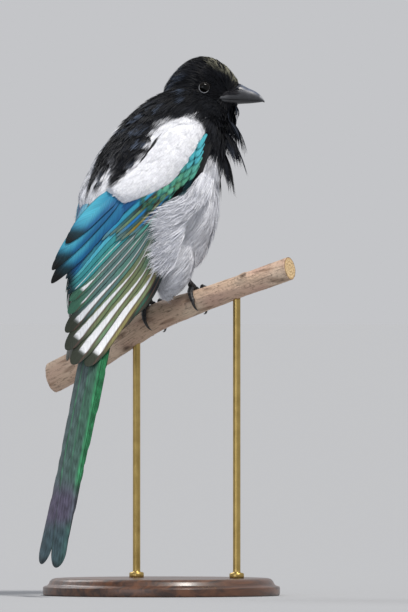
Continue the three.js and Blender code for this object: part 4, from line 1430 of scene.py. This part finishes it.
def hackle_coat():
    """Throat hackles: long tapered locks that hang free of the breast and curve outward."""
    groups = []
    for count, forward, up, tip_forward, tip_up, spread in (
        (20, 25, -13, 24, -27, 5),
        (26, 22, -16, 24, -36, 8),
        (38, 19, -22, 32, -50, 13),
        (44, 16, -32, 32, -64, 19),
        (44, 10, -41, 24, -83, 25),
        (30, 3, -48, 13, -84, 30),
    ):
        f = np.linspace(-1, 1, count) + rng.normal(0, 0.03, count)
        grow = 0.75 + 0.36 * rng.random(count)
        g = np.linspace(0, 1, 7)[None]
        hang = up + (tip_up - up) * g * (grow * (1 - 0.3 * f * f))[:, None]
        out = forward * (1 - 0.45 * f * f)[:, None]
        out = out + (tip_forward - forward) * g * (grow * (1 - 0.5 * f * f))[:, None]
        out += 2.5 * np.sin(math.pi * g) + rng.normal(0, 1.2, (count, 1)) * g
        side = spread * f[:, None] * (1 + 0.3 * g) + rng.normal(0, 1.5, (count, 1)) * g
        lines = in_head(out, side, hang)
        outward = unit(in_head(out + 8, side * 1.6, hang + 2) - lines)
        # A few locks are tinted towards a painted blue-grey sheen
        dark = mix(BLACK, SHEEN, 0.3 * rng.random(count) ** 4)
        half = 2.6 + 1.2 * rng.random(count)
        groups.append(
            feathers_on(lines, outward, half, 11, 0.34, -0.62, dark, dark * 2.2, 0.16, 0.3, streak=0.4)
        )
    return groups


def wing_lines(side, down, across, over):
    """Lines over a wing's sheet, and the way out from it along them."""
    lines = on_wing(side, down, across, over)
    return lines, unit(on_wing(side, down, across, over + 2) - lines)


def flank_coat():
    """Long hair-like flank feathers that lie over the wing's leading edge."""
    groups = []
    count = 800
    for side in (-1, 1):
        down = 16 + 72 * rng.random(count)
        edge = np.interp(down, [10, 25, 50, 80, 110], [-3, -5.5, -5, -13, -24])
        start = edge - 11 + 11 * rng.random(count)
        length = 19 + 8 * rng.random(count)
        f = np.linspace(0, 1, 6)[None]
        go_down = down[:, None] + f * (length * 0.8)[:, None]
        spread = 0.1 + 0.42 * rng.random(count) + 0.32 * np.exp(-(((down - 52) / 15) ** 2))
        go_across = start[:, None] + f * (length * spread * smooth(18, 44, down))[:, None]
        over = -3.8 + (6.8 + 1.2 * rng.random(count)[:, None]) * f**0.55
        lines, normals = wing_lines(side, go_down, go_across, over)
        tone = mix(SHADE_WHITE, WHITE, 0.5 + 0.5 * rng.random(count))
        half = 2.4 + 1.4 * rng.random(count)
        groups.append(feathers_on(lines, normals, half, 9, 0.36, 0.5, tone, tone, 0.25, 0.3))
    return groups


def covert_coat():
    """Lesser coverts: small dark-edged scales that overlap from the wing's bend down to its long coverts."""
    groups = []
    for side in (-1, 1):
        rows = []
        for row, down in enumerate(np.arange(-7, 58, 6.0)):
            for across in np.arange(-5, 50, 4.0):
                rows.append((down + rng.normal(0, 0.7), across + 2.0 * (row % 2) + rng.normal(0, 0.4)))
        down, across = np.array(rows).T
        edge = np.interp(down, [-10, -4, 3, 14, 22, 40, 51, 60], [11, 9, 4, 0, -1, 4, 8, 10])
        cover = SCAPULAR_EDGE(down)[0]
        keep = (across > edge) & (across < cover + 7)
        down, across, cover = down[keep], across[keep], cover[keep]
        count = len(down)
        length = 17 + 4 * smooth(10, 50, down) + rng.normal(0, 1.2, count)
        f = np.linspace(0, 1, 5)[None]
        go_down = down[:, None] + f * length[:, None]
        go_across = across[:, None] + f * (0.12 * length * smooth(0, 40, down))[:, None]
        over = 0.4 + (1.8 + 0.6 * rng.random(count)[:, None]) * f
        lines, normals = wing_lines(side, go_down, go_across, over)
        tip_down, tip_across = go_down[:, -1], go_across[:, -1]
        dark_edge = np.interp(tip_down, [0, 14, 22, 40, 51, 70], [4, -2, -2, 3, 8, 14])
        inward = tip_across - dark_edge + rng.normal(0, 0.5, count)
        shade = mix(TIP_BLACK, MOSS, 0.8 * smooth(-2, 1, inward))
        shade = mix(shade, SEA_GREEN, 0.9 * smooth(0, 2.5, inward))
        shade = mix(shade, CYAN, 0.8 * smooth(4, 7.5, inward) * smooth(44, 24, tip_down))
        shade = mix(shade, TURQUOISE, 0.4 * rng.random(count) * smooth(0, 3, inward))
        shade = mix(shade, DARK_TEAL, 0.8 * (rng.random(count) < 0.12) + 0.6 * smooth(58, 66, tip_down))
        shade = shade * (0.85 + 0.35 * rng.random((count, 1)))
        half = 2.9 + 0.5 * smooth(20, 50, down)
        rim = (TIP_BLACK, 0.62, 0.95)
        groups.append(
            feathers_on(
                lines, normals, half, 17, 0.34, 0.0, shade, shade, 0.02, 0.4, streak=0.04, loose=0.12, rim=rim
            )
        )
    return groups


colour, white = plumage_colour(skin_points)
tints = np.concatenate([colour * (0.7 + 0.3 * white)[:, None], np.ones((len(colour), 1))], 1)
skin.data.attributes.new("tint", "FLOAT_COLOR", "POINT").data.foreach_set("color", tints.ravel())
skin.data.materials.append(BODY_PLUMAGE)
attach(skin, "root")
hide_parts("head", "neck", "torso", "thigh_right", "thigh_left", "scapular_right", "scapular_left")

for name, group in body_coat().items():
    coat_piece(name, [group])
coat_piece("head_feathers", [head_coat()])
coat_piece("throat_hackles", hackle_coat())
coat_piece("flank_feathers", flank_coat())
coat_piece("lesser_coverts", covert_coat())


# Head: bill, nostril bristles, eyes and lids


def bill_half(name, rows, turn):
    mouth, at = keyed(MOUTH), keyed(rows)
    forward = np.linspace(rows[0][0], rows[-1][0], 60)
    height, half = at(forward)
    line = mouth(forward)[0] + turn * 0.1
    a = np.linspace(0, math.pi, 23)
    rise = turn * np.sin(a) ** 0.9 * height[:, None]
    top = in_head(forward[:, None], -np.cos(a) * half[:, None], line[:, None] + rise)
    b = np.linspace(-1, 1, 9)[1:-1][::-1]
    low = in_head(forward[:, None], b * half[:, None], line[:, None] - 0.7 * (1 - b * b))
    points, faces = lofted(np.concatenate([top, low], 1))
    if turn < 0:
        faces = faces[:, ::-1]
    # Painted highlight: blue-grey beside the ridge and a pale glint near the tip; and mottled grey where the
    # mouth's corner is soft
    ahead = forward[:, None]
    ridge = np.exp(-(((np.abs(a - math.pi / 2) - 0.45) / 0.4) ** 2)) * smooth(15, 26, ahead) * smooth(
        48.6, 42, ahead
    )
    mottle = 0.4 + 0.6 * rng.random((len(forward), len(a)))
    corner = smooth(0.75, 0.2, np.sin(a)) * smooth(22, 12, ahead) * mottle
    glint = (turn > 0) * smooth(43.5, 46, ahead) * np.exp(-(((np.abs(a - math.pi / 2) - 0.6) / 0.45) ** 2))
    shine = mix(0 * UP, linear("#65718a"), (turn > 0) * ridge) + mix(0 * UP, linear("#7c7f84"), corner)
    shine = mix(shine, linear("#cfd2d8"), glint)
    tint = np.concatenate([shine, np.zeros((len(forward), len(b), 3))], 1)
    tint = with_ends(tint).reshape(-1, 3)
    return piece(f"{name}_horn", points, faces, BILL_HORN, tint=tint, replaces=[name])


bill_half("bill_upper", UPPER_BILL, 1)
bill_half("bill_lower", LOWER_BILL, -1)


def nostril_bristles():
    """Stiff bristles that lie forward over the nostrils at the bill's root."""
    at, mouth = keyed(UPPER_BILL), keyed(MOUTH)
    count = 420
    start = 11 + 12 * rng.random(count)
    angle = math.pi * (0.12 + 0.76 * rng.random(count))
    f = np.linspace(0, 1, 5)[None]
    forward = start[:, None] + f * (7 + 3 * rng.random(count))[:, None]
    height, half = at(forward)
    line = mouth(forward)[0]
    lift = 1.06 - 0.02 * f
    rise = np.sin(angle)[:, None] * height * lift
    lines = in_head(forward, -np.cos(angle)[:, None] * half * lift, line + rise)
    centre = in_head(forward, 0 * forward, line + 1)
    normals = unit(lines - centre)
    dark = np.tile(linear("#1a1b20"), (count, 1))
    return feathers_on(lines, normals, np.full(count, 0.9), 3, 0.26, 0.2, dark, dark * 1.6, 0.15)


coat_piece("nostril_bristles", [nostril_bristles()])


def eye(side, label):
    a, e = np.meshgrid(np.linspace(0, 2 * math.pi, 40, endpoint=False), np.linspace(-1.5, 1.5, 32))
    local = np.stack([np.cos(a) * np.cos(e), side * np.sin(e), np.sin(a) * np.cos(e)], -1) * EYE_RADIUS
    points = in_head(local[..., 0], side * EYE_SIDE + local[..., 1], local[..., 2])
    out = side * local[..., 1] / EYE_RADIUS
    off_axis = np.sqrt(np.clip(1 - out**2, 0, 1))
    brown, pupil = linear("#0d0805"), linear("#020202")
    tint = mix(pupil, brown, smooth(0.5, 0.6, off_axis) * (out > 0))
    points, faces = lofted(points)
    tint = with_ends(tint).reshape(-1, 3)
    faces = faces if side > 0 else faces[:, ::-1]
    piece(f"eyeball_{label}", points, faces, CORNEA, tint=tint, replaces=[f"eye_{label}"])
    # The lids' bare rim: a thin soft ring, thickest below and behind, where a painted highlight makes it
    # palest
    t = np.linspace(0, 2 * math.pi, 64, endpoint=False)
    b = np.linspace(0, 2 * math.pi, 12, endpoint=False)
    low = 0.5 + 0.5 * np.cos(t - math.radians(235))
    ring, thick = 4.1 + 0.2 * np.cos(t), 0.2 + 0.2 * low
    r = ring[:, None] + thick[:, None] * np.cos(b)
    out = side * (EYE_SIDE + 3.2) + side * thick[:, None] * np.sin(b)
    rim = in_head(np.cos(t)[:, None] * r, out, np.sin(t)[:, None] * r)
    count = len(t)
    faces = ring_faces(count + 1, len(b)) % (count * len(b))
    faces = faces[:, ::-1] if side > 0 else faces
    # The pale grey below and behind is a painted highlight
    tint = mix(linear("#1c1d20"), linear("#b3b6ba"), smooth(0.35, 0.95, low))
    tint = np.repeat(tint, len(b), 0)
    piece(f"eyelids_{label}", rim.reshape(-1, 3), faces, LID_SKIN, tint=tint)


eye(-1, "left")
eye(1, "right")


# Perch and feet

PERCH_RUN = np.array([math.sin(PERCH_TURN), -math.cos(PERCH_TURN), 0])
perch_at = keyed(PERCH)


def perch_frame(l):
    l = np.asarray(l, float)
    z, radius = perch_at(l)
    rise = (perch_at(l + 1)[0] - perch_at(l - 1)[0]) / 2
    middle = PERCH_FOOT + l[..., None] * PERCH_RUN
    middle = np.concatenate([middle[..., :2], z[..., None]], -1)
    tangent = unit(PERCH_RUN + rise[..., None] * UP)
    ahead = unit(np.cross(UP, tangent))
    return middle, tangent, ahead, np.cross(tangent, ahead), radius


def on_perch(l, angle, reach):
    middle, _, ahead, top, _ = perch_frame(l)
    angle, reach = np.broadcast_arrays(angle, reach)
    upward = np.cos(angle)[..., None] * top * reach[..., None]
    return middle + upward + np.sin(angle)[..., None] * ahead * reach[..., None]


def from_knot(l, around, radius, at, angle):
    """How far places of the bark lie from a knot's middle, less along the grain than across it."""
    turn = (around - math.radians(angle) + math.pi) % (2 * math.pi) - math.pi
    return np.hypot((l - at) / 1.3, turn * radius)


def perch():
    l = np.linspace(PERCH[0][0], PERCH[-1][0], 300)
    a = np.linspace(0, 2 * math.pi, 96, endpoint=False)
    ll, aa = np.meshgrid(l, a, indexing="ij")
    radius = perch_frame(ll)[4]
    spot = np.stack([ll, np.cos(aa) * radius, np.sin(aa) * radius], -1)
    reach = radius + 0.35 * ripple(spot * (0.2, 1, 1), 6, 2.0) + 0.18 * ripple(spot, 2.5, 7.0)
    for at, angle, size in KNOTS:
        off = from_knot(ll, aa, radius, at, angle)
        reach += 2.0 * np.exp(-((off / size) ** 2)) - 1.5 * np.exp(-((off / (size * 0.45)) ** 2))
        reach += 0.25 * np.sin(off * 2.6) * np.exp(-((off / (size * 1.5)) ** 2))
    points = on_perch(ll, aa, reach)
    tan, pink, dark, pale = linear("#c6ae96"), linear("#c0a08f"), linear("#6a4c36"), linear("#e3d1ba")
    cloud = 0.5 + 0.5 * ripple(spot * (0.35, 1, 1), 16, 4.0)
    bleached = smooth(0.3, 0.9, 0.5 + 0.5 * ripple(spot, 30, 9.0))
    tint = mix(mix(tan, pink, cloud), pale, 0.5 * bleached)
    tint = mix(tint, dark, 0.55 * smooth(0.62, 0.9, 0.5 + 0.5 * ripple(spot * (0.25, 1, 1), 7, 11.0)))
    for at, angle, size in KNOTS:
        off = from_knot(ll, aa, radius, at, angle)
        tint = mix(tint, linear("#3a281c"), 0.85 * np.exp(-((off / (size * 0.6)) ** 2)))
    rings, tints, spots = [points], [tint], [spot]
    wood, ring_dark = linear("#d9c096"), linear("#a98757")
    for end, first in ((0, True), (-1, False)):
        inner, inner_tint, inner_spot = [], [], []
        middle, tangent, *_ = perch_frame(l[end])
        for k, share in enumerate(np.linspace(0.97, 0.02, 14)):
            sunk = tangent * (-0.25 if first else 0.25) * (k > 0)
            inner.append(middle + (points[end] - middle) * share + sunk)
            grown = 0.5 + 0.5 * math.sin(share * 24)
            rim = mix(wood, ring_dark, np.full(len(a), 0.7 * grown))
            inner_tint.append(rim if share < 0.93 else np.broadcast_to(dark, (len(a), 3)))
            inner_spot.append(spot[end] * (0.2, share, share))
        order = slice(None, None, -1) if first else slice(None)
        inner, inner_tint, inner_spot = (np.array(v[order]) for v in (inner, inner_tint, inner_spot))
        if first:
            rings, tints, spots = [inner] + rings, [inner_tint] + tints, [inner_spot] + spots
        else:
            rings, tints, spots = rings + [inner], tints + [inner_tint], spots + [inner_spot]
    rings, tints, spots = (np.concatenate(v) for v in (rings, tints, spots))
    piece(
        "perch_branch",
        rings.reshape(-1, 3),
        ring_faces(len(rings), len(a))[:, ::-1],
        BARK,
        tint=tints.reshape(-1, 3),
        place=spots.reshape(-1, 3),
        replaces=["perch"],
    )


perch()


def scaled_tube(node, line, radii, material, sides=20):
    line = np.asarray(line, float)
    points, faces = tube(line, radii, sides)
    run = np.concatenate([[0], np.cumsum(np.linalg.norm(np.diff(line, axis=0), axis=-1))])
    run = with_ends(run)
    place = np.zeros((len(run), sides, 3))
    place[..., 0] = run[:, None]
    piece(f"{node}_surface", points, faces, material, place=place.reshape(-1, 3), replaces=[node])


def foot(label):
    mirror = -1 if label == "left" else 1
    side = 1 if label == "left" else -1
    base = FOOT_AT[label]
    for name, start, end, first, last, claw_last in TOES:
        f = np.linspace(0, 1, 60)
        l = base + mirror * (start + (end - start) * f)
        radius = perch_frame(l)[4]
        pads = 0.1 * np.sin(f * 6 * math.pi) ** 2
        thick = TOE_RADIUS * (1.08 - 0.28 * f + pads)
        thick *= np.where(f < 0.04, np.sqrt(np.clip(f / 0.04, 0.02, 1)), 1)
        line = on_perch(l, np.radians(first + (last - first) * f), radius + TOE_RADIUS + 0.15)
        scaled_tube(f"toe_{label}_{name}", line, thick, LEG_SCUTES)
        turn = np.sign(last - first)
        f = np.linspace(0, 1, 30)
        angle = np.radians(last - turn * 2 + (claw_last - last + turn * 2) * f)
        l = np.full(30, base + mirror * end, float)
        radius = perch_frame(l)[4]
        reach = radius + TOE_RADIUS + 0.5 + 1.2 * np.sin(math.pi * f) - 1.1 * f
        line = on_perch(l, angle, reach)
        thick = 1.45 * (1 - f) ** 0.8 + 0.08
        scaled_tube(f"claw_{label}_{name}", line, thick, CLAW_HORN, sides=16)
    middle, *_ = perch_frame(base)
    ankle = np.array([2, side * 19, middle[2] + 28])
    heel = on_perch(base, 0.0, perch_frame(base)[4] + TOE_RADIUS + 0.6)
    f = np.linspace(0, 1, 40)[:, None]
    line = ankle + (heel - ankle) * f
    thick = np.interp(f[:, 0], [0, 0.3, 0.75, 1], [2.5, 2.0, 2.1, 3.2])
    scaled_tube(f"tarsus_{label}", line, thick, LEG_SCUTES)


foot("right")
foot("left")


# The display stand


def turned(profile, sides=160):
    a = np.linspace(0, 2 * math.pi, sides, endpoint=False)
    rows = np.array(profile, float)
    reach, height = rows[:, :1], np.broadcast_to(rows[:, 1:], (len(rows), sides))
    return lofted(np.stack([reach * np.cos(a), reach * np.sin(a), height], -1))


FOOT_EDGE = [(1.5, 0), (0.4, 0.4), (0, 1.5), (0, 6.3), (0.5, 7.2), (3.3, 8.1)]  # in from the edge, height
TOP_EDGE = [(4.6, 9.4), (5.6, 11.6), (7.2, 13.2), (9.5, 13.85), (12, BASE_HEIGHT)]
profile = [(30, 0), (70, 0)] + [(BASE_RADIUS - inset, z) for inset, z in FOOT_EDGE + TOP_EDGE]
profile += [(40, BASE_HEIGHT), (10, BASE_HEIGHT)]
points, faces = turned(profile)
base = piece("stand_base_turned", points, faces, WALNUT, replaces=["stand_base"])
sharp = base.modifiers.new("bevels", "WEIGHTED_NORMAL")
sharp.keep_sharp = False
# The collar round a rod's foot: radius, height over the base
COLLAR = [
    (0.3, 0), (5.6, 0), (5.9, 0.6), (5.9, 3.4), (5.3, 4.2), (ROD_RADIUS + 0.25, 4.6), (ROD_RADIUS, 5.2)
]
for number, l in enumerate(ROD_AT, 1):
    middle, *_, perch_radius = perch_frame(float(l))
    top = middle[2] - perch_radius * 1.02
    rows = [(radius, BASE_HEIGHT + z) for radius, z in COLLAR]
    rows += [(ROD_RADIUS, z) for z in np.linspace(BASE_HEIGHT + 8, top - 1, 12)] + [(ROD_RADIUS, top + 0.6)]
    points, faces = turned(rows, 40)
    points = points + (middle[0], middle[1], 0)
    node = f"stand_rod_{number}"
    piece(f"{node}_brass", points, faces, BRASS, replaces=[node])


# Floor, light and camera


FLOOR_WIDTH = 300  # in metres, to reach far behind the part


def make_floor():
    bpy.ops.mesh.primitive_plane_add(size=FLOOR_WIDTH)
    floor = bpy.context.object
    floor.name = "floor"
    material, surface = finish_named("matt paper floor", Roughness=0.9, Specular_IOR_Level=0.0)
    coordinates = add_node(material, "ShaderNodeTexCoord")
    tooth = add_node(
        material,
        "ShaderNodeTexNoise",
        {"Vector": coordinates.outputs["Object"], "Scale": 1 / (8 * MM), "Detail": 3},
    )
    ramp = add_node(
        material,
        "ShaderNodeMix",
        {"Factor": tooth.outputs["Fac"], "A": rgba("#9ea0a3"), "B": rgba("#a3a5a9")},
        data_type="RGBA",
    )
    material.node_tree.links.new(ramp.outputs[2], surface.inputs["Base Color"])
    floor.data.materials.append(material)


def sunlight(name, right, near, down, strength, degrees, colour):
    """A soft, wide sun. Its light travels to the right, towards the camera and down by these shares."""
    data = bpy.data.lights.new(name, "SUN")
    data.energy, data.angle, data.color = strength, math.radians(degrees), tuple(linear(colour))
    made = bpy.data.objects.new(name, data)
    bpy.context.scene.collection.objects.link(made)
    travel = Vector(right * HEAD_FORWARD + near * HEAD_SIDE - down * UP)
    made.rotation_euler = travel.to_track_quat("-Z", "Y").to_euler()


make_floor()
sunlight("key", -0.5, -0.65, 1.4, 3.0, 12, "#fffaf3")
sunlight("fill", 0.45, -0.8, 0.1, 0.65, 40, "#f2f5ff")
sunlight("rim", 0.6, 0.8, 0.9, 0.7, 25, "#ffffff")
world = bpy.data.worlds.new("studio")
world.use_nodes = True
world.node_tree.nodes["Background"].inputs["Color"].default_value = rgba("#c4c5c8")
world.node_tree.nodes["Background"].inputs["Strength"].default_value = 1.0
bpy.context.scene.world = world
bpy.context.scene.view_settings.view_transform = "Standard"

# The picture is level, from behind the bird's right side, through a long lens from far off
PICTURE_HEIGHT, PIXEL = 612, 0.8
LENS, SENSOR = 1000.0, 36.0
FAR_CLIP = 400  # in metres, past the whole floor
target = 34.1 * HEAD_FORWARD + 232 * UP + 24 * HEAD_SIDE
distance = LENS / SENSOR * (PICTURE_HEIGHT * PIXEL)
data = bpy.data.cameras.new("camera")
data.lens, data.sensor_width, data.clip_end = LENS, SENSOR, FAR_CLIP
camera = bpy.data.objects.new("camera", data)
bpy.context.scene.collection.objects.link(camera)
camera.location = (target + distance * HEAD_SIDE) * MM
camera.rotation_euler = Vector(-HEAD_SIDE).to_track_quat("-Z", "Y").to_euler()
bpy.context.scene.camera = camera

bpy.context.view_layer.update()
